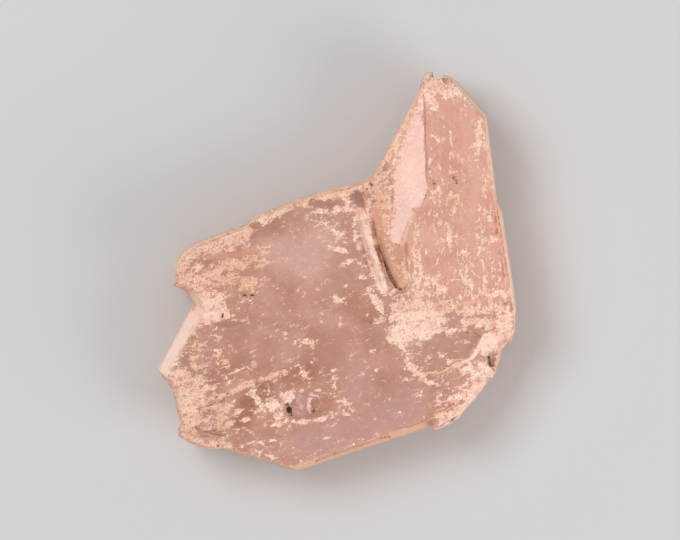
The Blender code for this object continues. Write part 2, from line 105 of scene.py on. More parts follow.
def take_modifiers(piece):
    """Puts what a piece's modifiers make in place of its mesh."""
    depsgraph = bpy.context.evaluated_depsgraph_get()
    made = bpy.data.meshes.new_from_object(piece.evaluated_get(depsgraph))
    made.name = piece.name
    piece.modifiers.clear()
    piece.data = made


cluster = merged_copy(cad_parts["quartz_cluster"], "quartz_cluster_skin")
form = bmesh.new()
form.from_mesh(cluster.data)
form_faces = BVHTree.FromBMesh(form)
cells = cluster.modifiers.new("cells", "REMESH")
cells.mode = "VOXEL"
cells.voxel_size = CELL
take_modifiers(cluster)
print("the skin has", len(cluster.data.vertices), "points")

# %% [markdown]
# ## Where each point lies
#
# Everything below asks the same two things of a point: where it is in millimetres, and which way its
# crystal plane faces. The new cells know neither exactly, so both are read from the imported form. The sums
# that follow are done on whole columns of numbers at once, which is much faster than point by point.

# %% Points and planes
def columns(mesh):
    """The points of a mesh, one row each, in millimetres."""
    flat = np.zeros(len(mesh.vertices) * 3)
    mesh.vertices.foreach_get("co", flat)
    return flat.reshape(-1, 3) / MM


def on_the_form(points):
    """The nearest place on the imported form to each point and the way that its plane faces."""
    found = [form_faces.find_nearest(Vector(p) * MM)[:2] for p in points]
    return np.array([p[:] for p, _ in found]) / MM, np.array([n[:] for _, n in found])


places, facing = on_the_form(columns(cluster.data))
print("put", len(places), "points back on the crystal planes")

# %% [markdown]
# Small even cells cut every ridge off, and on a crystal the ridges are what shows first. So marks are set
# close together along each sharp edge of the form, and a point that lies right beside a mark is put on it.

# %% Ridges kept sharp
RIDGE_ANGLE = math.radians(25)
RIDGE_REACH = 0.11
MARK_SPACING = 0.04


def on_the_ridges(points):
    """The points beside a sharp edge of the form, moved onto it."""
    marks = []
    for edge in form.edges:
        if edge.is_manifold and edge.calc_face_angle() > RIDGE_ANGLE:
            start, end = (vert.co / MM for vert in edge.verts)
            steps = max(1, round((end - start).length / MARK_SPACING))
            marks += [start.lerp(end, step / steps) for step in range(steps + 1)]
    ridges = KDTree(len(marks))
    for number, mark in enumerate(marks):
        ridges.insert(mark, number)
    ridges.balance()
    moved = points.copy()
    for row, point in enumerate(points):
        mark, _, gap = ridges.find(point)
        if gap < RIDGE_REACH:
            moved[row] = mark
    return moved


before = places
places = on_the_ridges(places)
print("moved", int((before != places).any(axis=1).sum()), "points onto ridges")

# %% [markdown]
# ## Strokes
#
# The crust, stains and cracks lie where they grew, so they are painted one by one: a stroke is a short path
# over the front, given in millimetres, with half its width and its strength. A stroke fades towards its
# edge, and noise later breaks it up, so no stroke shows as a drawn shape. A flat texture could do that,
# but it would stretch over the steep faces and could not be changed by a word.

# %% The reach of a stroke
STROKE_CORE = 0.5
STROKE_RIM = 1.35


def smooth_step(low, high, value):
    """0 below low, 1 above high, and a soft rise between."""
    share = np.clip((value - low) / (high - low), 0, 1)
    return share * share * (3 - 2 * share)


def distance_to_path(points, path):
    """How far each point is from a path over the front, seen from above."""
    nearest = np.full(len(points), 1e9)
    ends = path if len(path) > 1 else [path[0], path[0]]
    for (x0, y0), (x1, y1) in zip(ends, ends[1:]):
        along = np.array([x1 - x0, y1 - y0])
        offset = points[:, :2] - (x0, y0)
        share = np.clip(offset @ along / max(along @ along, 1e-9), 0, 1)
        nearest = np.minimum(nearest, np.hypot(*(offset - share[:, None] * along).T))
    return nearest


def painted(points, strokes, core=STROKE_CORE, rim=STROKE_RIM):
    """The strongest stroke over each point."""
    total = np.zeros(len(points))
    for path, half_width, strength in strokes:
        fade = 1 - smooth_step(core * half_width, rim * half_width, distance_to_path(points, path))
        total = np.maximum(total, strength * fade)
    return total


print("a stroke fades from", STROKE_CORE, "to", STROKE_RIM, "of its half width")

# %% [markdown]
# ### The cream crust
#
# A thin white to cream crust covers the left end, the top edge, the join of the two crystals and the lower
# right. Elsewhere it is left only in patches. It could be spread by noise alone, but on the real piece each
# patch has its own place, so each one is a stroke. The left end comes first, where the crust is thickest.

# %% Crust of the top edge and the left end
CRUST = {
    "top edge": [
        ([(-24.6, 1.5), (-22.0, 3.4), (-17.5, 4.6), (-13.5, 5.9)], 1.7, 1.15),
        ([(-13.2, 7.9), (-10.5, 8.6), (-8.0, 9.8)], 1.2, 0.95),
        ([(-8.4, 9.7), (-4.0, 11.5), (0.0, 12.5), (4.4, 13.1)], 1.25, 1.1),
        ([(-3.6, 9.2), (-0.6, 9.6), (2.2, 9.8)], 0.8, 0.7),
        ([(-3.8, 8.2), (-1.5, 7.4), (0.0, 8.8)], 0.9, 0.62),
        ([(0.9, 12.3), (1.6, 10.6)], 0.9, 0.95),
    ],
    "left knob": [
        ([(-24.8, 0.4), (-23.5, -1.8), (-21.5, -3.4)], 2.0, 1.2),
        ([(-22.5, 0.3), (-20.5, -1.0)], 1.7, 0.95),
    ],
    "stained crust below the valley": [
        ([(-19.5, 0.4), (-15.5, 0.9), (-11.8, 2.2)], 1.2, 0.98),
        ([(-19.5, -1.6), (-16.0, -1.2), (-13.2, -1.9)], 1.3, 0.92),
        ([(-15.0, 1.2), (-11.2, 1.5)], 0.9, 0.86),
        ([(-20.0, -3.0), (-16.5, -3.2)], 0.9, 0.62),
        ([(-14.6, -4.4), (-13.0, -4.4)], 0.5, 0.72),
        ([(-12.6, 3.4), (-8.8, 4.4)], 0.35, 0.66),
    ],
    "pale facet and left bevel": [
        ([(-21.8, -4.5), (-18.8, -4.6)], 1.2, 1.1),
        ([(-22.3, -6.8), (-18.4, -6.5)], 1.5, 1.1),
        ([(-22.8, -7.2), (-24.8, -11.0), (-26.8, -14.6)], 1.35, 1.2),
        ([(-27.0, -15.4), (-24.5, -16.5)], 1.4, 1.0),
    ],
    "left side": [
        ([(-24.2, -16.5), (-23.6, -19.5), (-23.0, -22.5), (-23.4, -25.0)], 2.1, 1.08),
        ([(-21.0, -20.4), (-21.8, -18.8)], 1.6, 0.98),
        ([(-21.5, -22.6), (-20.2, -23.6)], 1.4, 0.82),
        ([(-22.5, -13.0), (-22.3, -15.2)], 0.8, 0.62),
        ([(-21.8, -9.5), (-21.5, -12.5)], 0.8, 0.6),
        ([(-18.5, -12.5), (-17.2, -14.4)], 0.8, 0.72),
        ([(-19.2, -9.3), (-17.8, -10.6)], 0.5, 0.62),
        ([(-16.6, -11.3), (-16.2, -11.9)], 0.4, 0.7),
    ],
}


def strokes_so_far():
    return sum(len(strokes) for strokes in CRUST.values())


print("the left end has", strokes_so_far(), "strokes")

# %% [markdown]
# A ledge crosses the lower left, and the crust lies thick along its lip. In the oval crater it lines the
# floor between the small crystals, so the strokes there are short and strong.

# %% Crust of the ledge, the foot and the crater
CRUST.update({
    "round the ledge": [
        ([(-21.5, -17.0), (-19.8, -17.8)], 1.3, 0.78),
        ([(-18.3, -15.6), (-16.8, -16.8)], 0.6, 0.75),
        ([(-17.0, -16.0), (-14.0, -14.6)], 0.3, 0.7),
        ([(-12.8, -14.2), (-12.6, -14.6)], 0.5, 0.8),
        ([(-15.8, -16.4), (-15.6, -16.6)], 0.45, 0.75),
        ([(-20.2, -20.1), (-17.0, -18.9), (-13.5, -17.2), (-10.8, -16.4), (-8.3, -15.5)], 0.36, 1.25),
        ([(-18.2, -21.2), (-17.6, -23.4)], 1.6, 1.0),
        ([(-19.8, -21.6), (-19.6, -23.6)], 1.2, 0.7),
        ([(-15.9, -20.4), (-15.5, -22.4)], 0.5, 0.66),
        ([(-14.4, -22.9), (-13.3, -22.9)], 0.45, 0.9),
        ([(-12.8, -19.3), (-11.9, -20.5)], 0.6, 0.85),
        ([(-14.8, -24.2), (-13.4, -24.9)], 0.25, 0.8),
    ],
    "foot": [
        ([(-23.6, -25.8), (-19.5, -26.7), (-16.8, -27.0)], 0.95, 0.98),
        ([(-17.5, -24.9), (-14.5, -24.3)], 0.4, 0.62),
        ([(-13.6, -26.7), (-11.5, -26.4)], 0.5, 0.72),
        ([(-10.0, -26.3), (-8.8, -26.5)], 0.5, 0.76),
        ([(-12.4, -27.9), (-10.2, -28.9)], 0.5, 0.7),
    ],
    "round the crater": [
        ([(-10.0, -19.2), (-9.8, -19.0)], 0.5, 0.8),
        ([(-8.4, -19.4), (-6.2, -18.8)], 0.7, 1.0),
        ([(-10.2, -20.2), (-9.0, -22.4)], 1.3, 0.92),
        ([(-9.6, -23.6), (-9.0, -23.9)], 0.5, 0.8),
        ([(-7.9, -23.1), (-5.0, -23.3), (-2.2, -23.0)], 0.5, 0.85),
        ([(-7.6, -20.2), (-5.4, -18.5)], 0.35, 1.5),
        ([(-4.4, -19.6), (-4.3, -21.8)], 0.3, 1.5),
        ([(-0.4, -19.6), (0.6, -20.6), (0.0, -22.0), (-2.4, -22.8)], 0.35, 0.8),
        ([(-3.9, -19.4), (-3.0, -19.6)], 0.5, 0.9),
        ([(-3.6, -18.2), (-2.8, -18.3)], 0.35, 0.8),
        ([(-1.8, -18.7), (0.0, -19.2)], 0.4, 0.76),
        ([(-1.4, -17.2), (-0.2, -17.9)], 0.35, 0.66),
        ([(0.9, -19.9), (2.0, -20.6)], 0.5, 0.76),
        ([(1.0, -22.2), (1.8, -22.2)], 0.35, 0.9),
        ([(-1.0, -21.8), (-0.3, -23.6)], 0.5, 0.64),
    ],
})
print("with the foot it has", strokes_so_far())

# %% [markdown]
# Beside the groove between the crystals, the wide one ends in a rounded lip, which is crusted from end to
# end. The windows left of it hold only small patches, which slant up to the right as that crystal grew.

# %% Crust beside the groove
CRUST.update({
    "hollow": [
        ([(7.4, 4.6), (8.2, 2.2), (9.4, -0.6)], 1.1, 0.72),
        ([(10.0, 1.2), (10.6, -1.4)], 0.8, 0.8),
    ],
    "lip of the groove": [
        ([(3.0, 9.8), (4.2, 8.2), (4.6, 6.0), (5.0, 4.0), (5.8, 1.2), (6.6, -1.2), (7.4, -3.0)], 0.85, 1.25),
        ([(4.8, 10.6), (5.2, 8.4)], 0.6, 0.95),
        ([(2.9, 9.3), (2.8, 6.2), (3.3, 3.7)], 0.5, 0.8),
    ],
    "patches beside the lip": [
        ([(-1.3, 3.8), (0.2, 3.4), (1.5, 3.0)], 0.5, 0.9),
        ([(-0.2, 4.9), (1.0, 6.1)], 0.5, 0.74),
        ([(-1.2, 6.8), (0.6, 5.6)], 0.6, 0.6),
        ([(0.9, 1.0), (2.3, 1.6)], 0.45, 0.95),
        ([(3.0, 1.7), (3.4, 1.2)], 0.3, 0.7),
        ([(3.6, -0.9), (5.4, -0.4)], 0.5, 0.8),
        ([(-0.2, -4.2), (1.0, -4.6)], 0.55, 0.95),
        ([(5.0, -2.6), (6.0, -4.4), (7.0, -6.0)], 0.7, 0.92),
        ([(5.6, -7.8), (8.6, -6.9)], 0.35, 0.8),
        ([(4.8, -5.9), (4.6, -7.2)], 0.25, 0.85),
        ([(0.6, -7.2), (0.4, -8.6)], 0.35, 0.7),
    ],
})
print("with the groove it has", strokes_so_far())

# %% [markdown]
# The lower right corner is broken into small steps. Crust lies on the treads and along the top of each
# step, and one clear plate between them is left bare.

# %% Crust of the lower right corner
CRUST.update({
    "lower right": [
        ([(10.8, -13.8), (11.6, -15.0), (12.4, -16.0), (14.4, -17.4)], 0.8, 0.86),
        ([(14.3, -11.5), (15.3, -12.0)], 0.5, 0.64),
        ([(10.4, -12.9), (13.0, -11.6)], 0.8, 0.56),
        ([(13.2, -18.9), (12.6, -19.4)], 0.35, 0.7),
        ([(15.8, -19.2), (16.6, -18.9)], 0.4, 0.7),
        ([(17.4, -14.3), (20.0, -13.9), (21.9, -12.0), (23.0, -10.0)], 0.62, 1.25),
        ([(19.8, -15.4), (21.8, -16.6)], 1.7, 0.8),
        ([(16.0, -20.6), (19.5, -19.2), (22.5, -16.5)], 1.0, 0.86),
        ([(22.8, -12.3), (24.4, -11.6)], 1.0, 1.05),
        ([(22.8, -15.0), (24.0, -15.8)], 1.1, 1.15),
        ([(19.5, -18.0), (21.5, -17.6)], 0.8, 0.76),
        ([(21.0, -19.4), (22.0, -18.2)], 0.9, 0.9),
        ([(22.8, -17.2), (20.5, -21.0), (18.2, -23.2), (15.6, -24.6)], 0.9, 1.0),
        ([(16.0, -22.8), (19.0, -21.2)], 0.7, 0.85),
        ([(15.2, -15.8), (17.0, -15.2), (18.4, -14.0)], 0.28, 0.85),
    ],
})
print("with the corner it has", strokes_so_far())

# %% [markdown]
# Where the two crystals join, the crust is close to solid. It thins out upwards over the foot of the tall
# crystal, so the strokes there are narrower and weaker.

# %% Crust of the join
CRUST.update({
    "join of the crystals": [
        ([(9.4, -10.0), (12.0, -8.8), (14.6, -9.2)], 1.9, 1.1),
        ([(9.6, -7.2), (13.0, -6.8), (16.0, -7.0)], 1.5, 1.1),
        ([(14.6, -9.6), (17.6, -9.0), (20.0, -8.4)], 1.5, 0.56),
        ([(9.0, -6.0), (12.0, -5.0), (15.0, -5.6)], 1.3, 0.92),
        ([(8.4, -3.4), (9.8, -4.2)], 0.9, 0.6),
        ([(16.0, -5.7), (20.0, -5.9), (26.0, -5.8)], 1.2, 0.88),
        ([(14.8, -5.2), (17.0, -4.65), (19.2, -3.9)], 0.16, 1.1),
        ([(20.0, -7.5), (24.0, -8.0), (27.0, -7.2)], 1.5, 0.9),
        ([(23.6, -10.4), (26.5, -9.5)], 1.3, 1.15),
        ([(22.4, -3.1), (26.2, -3.5)], 1.0, 1.0),
        ([(12.5, -3.3), (14.8, -3.5), (16.6, -2.6)], 1.0, 0.84),
        ([(19.4, -3.4), (21.6, -3.6)], 0.8, 0.7),
        ([(11.5, -0.5), (13.5, -2.5)], 1.3, 0.7),
        ([(10.8, 1.0), (11.6, -3.4)], 1.3, 0.6),
        ([(14.4, -0.8), (15.8, -2.2)], 1.0, 0.78),
        ([(20.6, -2.2), (21.2, -2.6)], 0.5, 0.88),
        ([(17.2, -1.2), (19.0, -1.2)], 0.35, 0.76),
    ],
})
print("with the join it has", strokes_so_far())

# %% [markdown]
# The front of the tall crystal is striped by its growth, so its patches are short streaks that run up and
# down. They are drawn in three columns.

# %% Streaks of the tall crystal
CRUST.update({
    "streaks on the left": [
        ([(12.1, 7.2), (12.4, 4.6), (12.4, 2.0), (12.9, -1.5)], 1.0, 0.78),
        ([(14.4, 11.6), (15.2, 10.5)], 0.3, 0.76),
        ([(13.6, 9.0), (14.2, 8.8)], 0.4, 0.7),
        ([(13.7, 4.4), (13.8, 2.4)], 0.3, 0.72),
        ([(15.6, 1.9), (15.4, 1.1)], 0.35, 0.78),
        ([(14.4, 17.3), (14.5, 17.0)], 0.45, 0.82),
        ([(14.5, 14.8), (15.0, 13.6)], 0.25, 0.7),
        ([(15.8, 13.0), (14.8, 12.2)], 0.25, 0.66),
    ],
    "streaks in the middle": [
        ([(17.6, 6.2), (17.4, 4.9), (17.3, 3.4)], 0.6, 0.86),
        ([(17.4, 5.4), (19.0, 5.5)], 0.28, 0.76),
        ([(17.6, 12.0), (18.8, 11.6), (18.5, 10.6), (17.6, 9.1)], 0.6, 0.86),
        ([(19.2, 2.6), (19.2, 0.2), (20.0, -1.8)], 1.0, 0.8),
        ([(20.8, 1.0), (21.2, -0.4)], 0.55, 0.7),
        ([(20.3, 4.4), (20.2, 3.0)], 0.25, 0.66),
        ([(19.2, 17.5), (19.4, 17.2)], 0.42, 0.84),
        ([(17.5, 18.4), (17.5, 17.5)], 0.3, 0.88),
        ([(16.5, 22.6), (17.6, 21.6)], 0.25, 0.8),
        ([(14.5, 21.2), (15.8, 20.2)], 0.22, 0.72),
        ([(16.6, 20.6), (17.2, 20.0)], 0.4, 0.66),
        ([(17.0, 15.1), (18.5, 15.4)], 0.35, 0.68),
        ([(17.4, 21.2), (17.9, 19.4)], 0.2, 0.66),
    ],
    "streaks on the right": [
        ([(22.0, 9.6), (23.8, 9.2), (23.7, 7.8)], 0.6, 0.72),
        ([(21.9, 7.6), (22.6, 6.2)], 0.9, 0.76),
        ([(21.8, 5.3), (24.4, 5.0)], 0.8, 0.82),
        ([(22.2, 3.6), (22.3, 2.2)], 0.45, 0.8),
        ([(24.6, 2.2), (25.0, -1.2)], 0.9, 0.66),
        ([(22.7, 14.8), (22.8, 11.8)], 0.6, 0.8),
        ([(21.7, 22.8), (22.1, 21.0), (21.4, 18.6)], 1.0, 0.82),
        ([(22.9, 22.8), (23.1, 21.0)], 0.3, 0.68),
        ([(20.9, 18.2), (21.5, 18.0)], 0.3, 0.74),
        ([(20.5, 16.4), (22.3, 16.0)], 0.32, 0.76),
        ([(23.2, -0.8), (23.0, -1.8)], 0.6, 0.66),
    ],
})
print("with the streaks it has", strokes_so_far())

# %% [markdown]
# The tip is frosted all over, and a band of crust borders the long facet on its left.

# %% Crust of the tip and the long border
CRUST.update({
    "tip": [
        ([(13.8, 30.3), (13.2, 28.8)], 0.8, 1.2),
        ([(13.9, 28.6), (17.0, 28.9), (18.6, 28.2)], 1.5, 1.15),
        ([(14.3, 27.0), (14.9, 25.6)], 1.1, 0.95),
        ([(16.6, 27.4), (20.2, 26.4)], 1.2, 0.6),
        ([(19.2, 29.1), (23.2, 24.6)], 0.45, 1.2),
    ],
    "left border of the long facet": [
        ([(5.7, 15.3), (8.5, 20.8), (11.4, 26.2), (12.9, 28.4)], 1.3, 1.2),
        ([(6.4, 14.6), (7.2, 10.4)], 1.8, 1.1),
        ([(8.7, 15.6), (9.8, 20.4), (11.7, 25.6)], 0.7, 1.0),
        ([(7.2, 10.0), (7.6, 6.4)], 1.0, 0.8),
        ([(8.6, 4.6), (9.2, 4.1), (10.4, 6.6), (11.7, 9.4)], 0.14, 1.2),
        ([(12.3, 9.9), (12.9, 10.0), (13.7, 12.2)], 0.16, 1.2),
    ],
})
print("with the tip it has", strokes_so_far())

# %% [markdown]
# Between the patches lies a thin scatter. Its strokes are so weak that only the peaks of the noise show.
# Single specks are strokes too, of one point each, so a list of places and radii is enough for them.

# %% Scatter and specks
CRUST["scatter"] = [
    ([(-12.5, -18.5), (-9.0, -23.0)], 2.4, 0.4),
    ([(-8.0, -15.8), (-1.0, -16.0)], 2.0, 0.28),
    ([(0.0, -18.0), (2.0, -22.0)], 1.6, 0.28),
    ([(-19.0, -9.0), (-20.0, -15.0)], 2.6, 0.34),
    ([(-8.0, -8.8), (-3.0, -12.5)], 2.0, 0.26),
    ([(12.0, -16.0), (19.0, -17.0)], 2.4, 0.34),
    ([(22.5, 1.5), (24.4, -1.5)], 2.2, 0.56),
    ([(15.5, 20.0), (18.0, 9.0)], 2.4, 0.32),
    ([(15.0, 12.0), (16.4, 4.0)], 1.6, 0.36),
    ([(19.0, -10.6), (16.0, -12.4)], 1.6, 0.34),
    ([(20.2, -11.4), (21.8, -10.0)], 0.9, 0.6),
    ([(-12.0, -27.0), (-4.0, -29.0)], 1.5, 0.3),
    ([(-2.0, 5.5), (2.0, 7.5)], 2.0, 0.3),
]
SPECKS = [
    (-0.6, -15.5, 0.4), (-0.6, -16.4, 0.25), (1.5, -16.5, 0.35), (2.4, -12.9, 0.35), (5.3, -12.2, 0.3),
    (5.9, -12.2, 0.25), (4.2, -15.9, 0.25), (6.1, -15.3, 0.35), (-5.7, -11.4, 0.25), (-3.1, -10.8, 0.25),
    (-5.6, -15.5, 0.45), (-6.4, -14.2, 0.35), (-4.0, -14.0, 0.3), (-5.2, -17.0, 0.2), (-4.3, -17.3, 0.22),
    (9.7, -21.8, 0.35), (5.8, -22.8, 0.3), (-1.6, -25.8, 0.4), (-4.4, -29.4, 0.3), (-4.9, -28.3, 0.25),
    (2.7, -26.8, 0.35), (-10.6, -17.9, 0.3), (-9.6, -17.3, 0.25), (-7.9, -17.9, 0.3), (14.3, -13.3, 0.3),
    (16.2, -13.1, 0.4), (18.0, -12.0, 0.4), (14.0, -18.6, 0.3), (-2.1, 4.6, 0.25), (3.7, 1.4, 0.2),
    (-13.0, -14.0, 0.3), (-7.8, -9.6, 0.25), (-9.0, -10.7, 0.22), (1.3, -2.3, 0.25), (-2.4, -7.7, 0.25),
]
CRUST["specks"] = [([(x, y)], radius, 0.95) for x, y, radius in SPECKS]
print("the crust has", strokes_so_far(), "strokes")

# %% [markdown]
# Where crust has flaked off or never grew, the window shows through it with a clean border: in the valley
# inside the top edge, in the groove, on the plate and on the two crystals in the crater. Drawing these as
# strokes that take crust away is simpler than drawing the crust round them.

# %% Places kept clear
CLEAR = [
    ([(-18.6, 2.3), (-15.5, 2.6), (-12.8, 3.3)], 0.35, 1.5),
    ([(6.0, 9.0), (6.2, 7.6)], 0.5, 1.0),
    ([(6.9, 4.6), (7.5, 2.4), (8.4, 0.4), (9.3, -1.6)], 0.4, 0.9),
    ([(-12.6, 5.0), (-9.5, 7.0), (-6.0, 9.2)], 0.8, 1.2),
    ([(-13.4, 7.1), (-11.8, 7.2)], 0.35, 0.9),
    ([(-3.8, 10.8), (-1.8, 10.4), (0.3, 10.9)], 0.5, 1.0),
    ([(3.2, 12.0), (3.6, 10.8)], 0.7, 1.1),
    ([(17.4, -2.7), (18.4, -3.2)], 0.5, 1.4),
    ([(15.6, -10.6), (18.6, -12.2), (20.0, -12.4)], 0.9, 1.3),
    ([(17.6, -8.2), (18.6, -7.6)], 0.6, 0.7),
    ([(-5.8, -19.4), (-5.5, -21.8)], 0.7, 1.5),
    ([(-3.0, -20.9), (-1.4, -20.5)], 1.0, 1.5),
    ([(24.1, -13.6), (24.9, -14.2)], 0.7, 1.5),
    ([(13.6, 26.0), (13.8, 20.0), (13.9, 14.0)], 0.25, 1.0),
]
print(len(CLEAR), "places are kept clear")

# %% [markdown]
# ### Stains
#
# Iron has stained some of the crust yellow, and the hollow beside the groove and the edge of the foot are
# tan. Both are soft strokes that only change a colour and no shape.

# %% Yellow and tan
STAINS = [
    ([(8.6, 2.6), (10.2, -1.0)], 1.0, 0.45),
    ([(6.0, 14.0), (6.8, 8.0)], 1.2, 0.45),
    ([(-8.0, 10.4), (-2.0, 12.2), (4.4, 13.4)], 1.4, 0.5),
    ([(6.0, 14.6), (9.4, 21.4), (12.4, 27.4)], 1.0, 0.5),
    ([(-16.0, 1.0), (-12.2, 1.8)], 2.2, 0.75),
    ([(-17.0, -2.0), (-13.4, -2.2)], 1.6, 0.85),
    ([(-12.6, 3.4), (-9.0, 4.4)], 0.6, 0.9),
    ([(-18.0, -14.0), (-17.4, -13.2)], 1.2, 0.7),
    ([(-21.8, -10.0), (-22.4, -14.6)], 1.2, 0.55),
    ([(-18.0, -21.6), (-17.8, -23.0)], 1.6, 0.6),
    ([(-23.4, -17.0), (-20.6, -20.0)], 1.6, 0.3),
    ([(16.8, -15.2), (18.6, -16.4)], 0.9, 1.0),
    ([(15.2, -15.8), (17.0, -15.2), (18.4, -14.0)], 0.4, 0.9),
    ([(12.5, 12.2), (12.8, 11.4)], 0.55, 1.2),
    ([(18.0, 11.6), (17.8, 9.6)], 0.9, 0.6),
    ([(12.2, 6.0), (12.4, 2.6)], 0.9, 0.5),
    ([(20.0, -20.6), (17.4, -21.4)], 0.7, 0.5),
    ([(-23.6, -25.9), (-22.8, -26.0)], 0.7, 0.7),
]
TAN = [
    ([(6.5, 9.0), (7.0, 5.0), (8.2, 2.0), (9.6, -1.4)], 1.4, 0.95),
    ([(13.6, -24.2), (4.0, -27.6), (-5.4, -30.7)], 0.35, 0.6),
    ([(10.4, 1.6), (10.9, -1.0)], 0.6, 0.5),
    ([(8.4, 9.6), (9.6, 5.0), (10.6, 2.4)], 1.3, 0.8),
    ([(17.4, -2.5), (18.5, -3.2)], 0.6, 0.4),
    ([(-20.4, 2.3), (-15.5, 2.5), (-12.8, 3.3)], 0.5, 0.4),
    ([(-14.0, -15.9), (-10.0, -15.1)], 0.8, 0.3),
    ([(-17.4, -18.0), (-14.8, -17.4)], 0.6, 0.3),
    ([(-13.4, -21.2), (-11.6, -22.4)], 1.2, 0.3),
    ([(-6.8, -17.6), (-4.4, -17.4)], 0.8, 0.35),
    ([(3.0, -3.6), (4.2, -5.6)], 1.4, 0.45),
    ([(-2.9, -20.6), (-1.2, -20.2)], 0.9, 0.4),
    ([(24.1, -13.6), (24.9, -14.2)], 0.8, 1.0),
]
print(len(STAINS), "stains and", len(TAN), "tan stretches")

# %% [markdown]
# ### Tints inside the crystals
#
# Seen through its windows, quartz isn't of one colour. Brown shadows lie deep in the wide crystal beside
# the ledge and the crater, and its lower part turns to lavender. They are painted on the surface, which
# looks the same from above as clouds inside would, without a slow see-through body. Two brown strokes are
# painted shade on the surface itself: beside the lip of the groove and below the step of the pale facet.

# %% Brown, rose and lavender
BROWN = [
    ([(-14.8, -23.0), (-13.6, -20.0), (-11.4, -18.2)], 1.7, 1.0),
    ([(-7.6, -16.6), (-4.6, -15.6)], 1.9, 0.75),
    ([(-19.0, -16.6), (-14.4, -13.6)], 1.4, 0.5),
    ([(-13.6, -15.6), (-10.4, -15.0)], 0.8, 0.5),
    ([(2.4, -4.2), (4.4, -6.6)], 1.9, 0.6),
    ([(16.2, -17.4), (15.4, -18.4)], 1.2, 0.35),
    # painted shade of the lip on the hollow beside the groove
    ([(6.7, 4.6), (7.2, 2.6), (8.1, 0.6), (9.1, -1.6)], 0.45, 0.5),
    ([(-13.2, 6.6), (-9.0, 6.8)], 1.2, 0.4),
    ([(-4.4, 10.9), (0.0, 10.6)], 0.7, 0.5),
    ([(3.2, 12.0), (3.7, 10.8)], 0.9, 0.6),
    ([(24.3, -13.0), (24.7, -14.6)], 0.9, 1.0),
    # painted shade below the step under the pale facet
    ([(-20.0, -7.6), (-13.0, -8.6)], 0.9, 0.35),
    ([(-3.0, -20.9), (-1.4, -20.5)], 1.2, 0.5),
    ([(-21.3, -19.0), (-20.9, -19.3)], 0.32, 1.0),
    ([(13.6, -24.2), (4.0, -27.6), (-5.4, -30.7)], 0.3, 0.3),
]
ROSE = [
    ([(-5.9, -19.4), (-6.1, -21.6)], 0.6, 0.3),
]
LAVENDER = [
    ([(-4.0, -26.6), (3.0, -25.4), (10.0, -21.4)], 3.2, 0.75),
    ([(2.0, -16.0), (4.0, -19.0)], 2.4, 0.5),
    ([(-5.6, -19.8), (-5.6, -21.8)], 0.9, 1.1),
    ([(-9.5, 3.0), (-4.0, 1.5), (-2.0, 5.0)], 2.6, 0.6),
    ([(10.0, -12.6), (14.6, -11.0)], 1.2, 0.6),
    ([(12.0, -18.6), (15.0, -19.0)], 1.6, 0.6),
]
print(len(BROWN) + len(ROSE) + len(LAVENDER), "tints")

# %% [markdown]
# ### Pitted crust, pale crust and painted light
#
# Some of the crust is pitted and duller, and some, mostly on steep faces, is paler; on the steep bevels
# that paleness is painted light, which brightens faces the lamps barely reach. The two lists only make it
# darker or lighter, so they may overlap the crust's own strokes freely.

# %% Pitted, pale and painted light
PITTED = [
    ([(-24.4, 1.3), (-22.0, 3.2), (-17.5, 4.6), (-13.5, 5.9)], 1.9, 1.0),
    ([(-24.4, 0.4), (-23.5, -1.8), (-21.0, -3.0)], 1.9, 0.9),
    ([(-20.0, -0.6), (-16.0, -0.6), (-12.5, 0.6)], 2.6, 1.0),
    ([(-13.0, 8.0), (-8.0, 10.0), (0.0, 12.9), (4.6, 13.6)], 1.2, 0.4),
    ([(-19.4, -5.0), (-18.2, -6.4)], 1.0, 0.5),
    ([(-23.8, -16.5), (-23.4, -24.0)], 1.6, 0.45),
    ([(-21.0, -22.8), (-18.0, -22.6)], 1.6, 0.8),
    ([(-24.0, -25.8), (-19.5, -26.7), (-16.5, -26.8)], 1.0, 0.9),
    ([(3.6, 9.4), (4.0, 6.5), (4.5, 3.6)], 0.9, 0.8),
    ([(6.2, 15.0), (7.0, 11.0)], 1.6, 0.7),
    ([(-20.0, -20.1), (-13.5, -17.2), (-8.3, -15.5)], 0.5, 1.0),
    ([(13.4, 29.6), (17.5, 29.2)], 1.3, 0.8),
    ([(10.0, -4.4), (15.0, -5.4), (20.0, -6.6)], 1.6, 0.5),
]
PALE_AND_PAINTED_LIGHT = [
    ([(-22.8, -7.4), (-24.8, -11.0), (-26.9, -14.8)], 1.3, 1.2),
    ([(-21.6, -5.0), (-19.0, -6.0)], 1.6, 0.4),
    ([(11.0, 9.0), (9.3, 4.8)], 1.0, 0.9),
    ([(11.0, 16.0), (12.4, 11.2)], 1.6, 0.55),
    ([(10.0, -9.8), (14.0, -7.4)], 2.0, 0.5),
    ([(19.6, -14.2), (21.9, -12.2), (23.0, -10.0)], 0.8, 0.25),
    ([(23.4, -11.6), (26.6, -8.4)], 1.4, 0.7),
    ([(-9.5, 3.0), (-4.0, 1.5), (-2.0, 5.0)], 3.0, 0.26),
    ([(22.4, -15.2), (23.6, -16.0)], 1.2, 0.6),
    ([(16.0, -24.0), (21.4, -20.2)], 0.8, 0.7),
    ([(18.9, 29.2), (23.2, 24.4), (24.5, 13.0)], 0.45, 1.0),
    ([(5.6, 15.4), (8.6, 20.9), (13.4, 29.6)], 0.45, 0.9),
    ([(13.4, 30.8), (14.8, 30.4)], 0.6, 0.9),
    ([(25.6, 9.0), (27.4, -5.0)], 0.3, 0.8),
    ([(3.6, 8.0), (5.0, 3.4), (7.2, -2.6)], 0.75, 0.65),
]
print(len(PITTED), "pitted and", len(PALE_AND_PAINTED_LIGHT), "pale stretches")

# %% [markdown]
# ### Two pale facets
#
# The long facet of the tall crystal is paler and pinker than the rest, and a small facet beside the notch
# is nearly white. Both have straight borders, so they are closed outlines and not strokes. The left side
# of the long one is the exception: crust has eaten into it, so a stroke softens it.

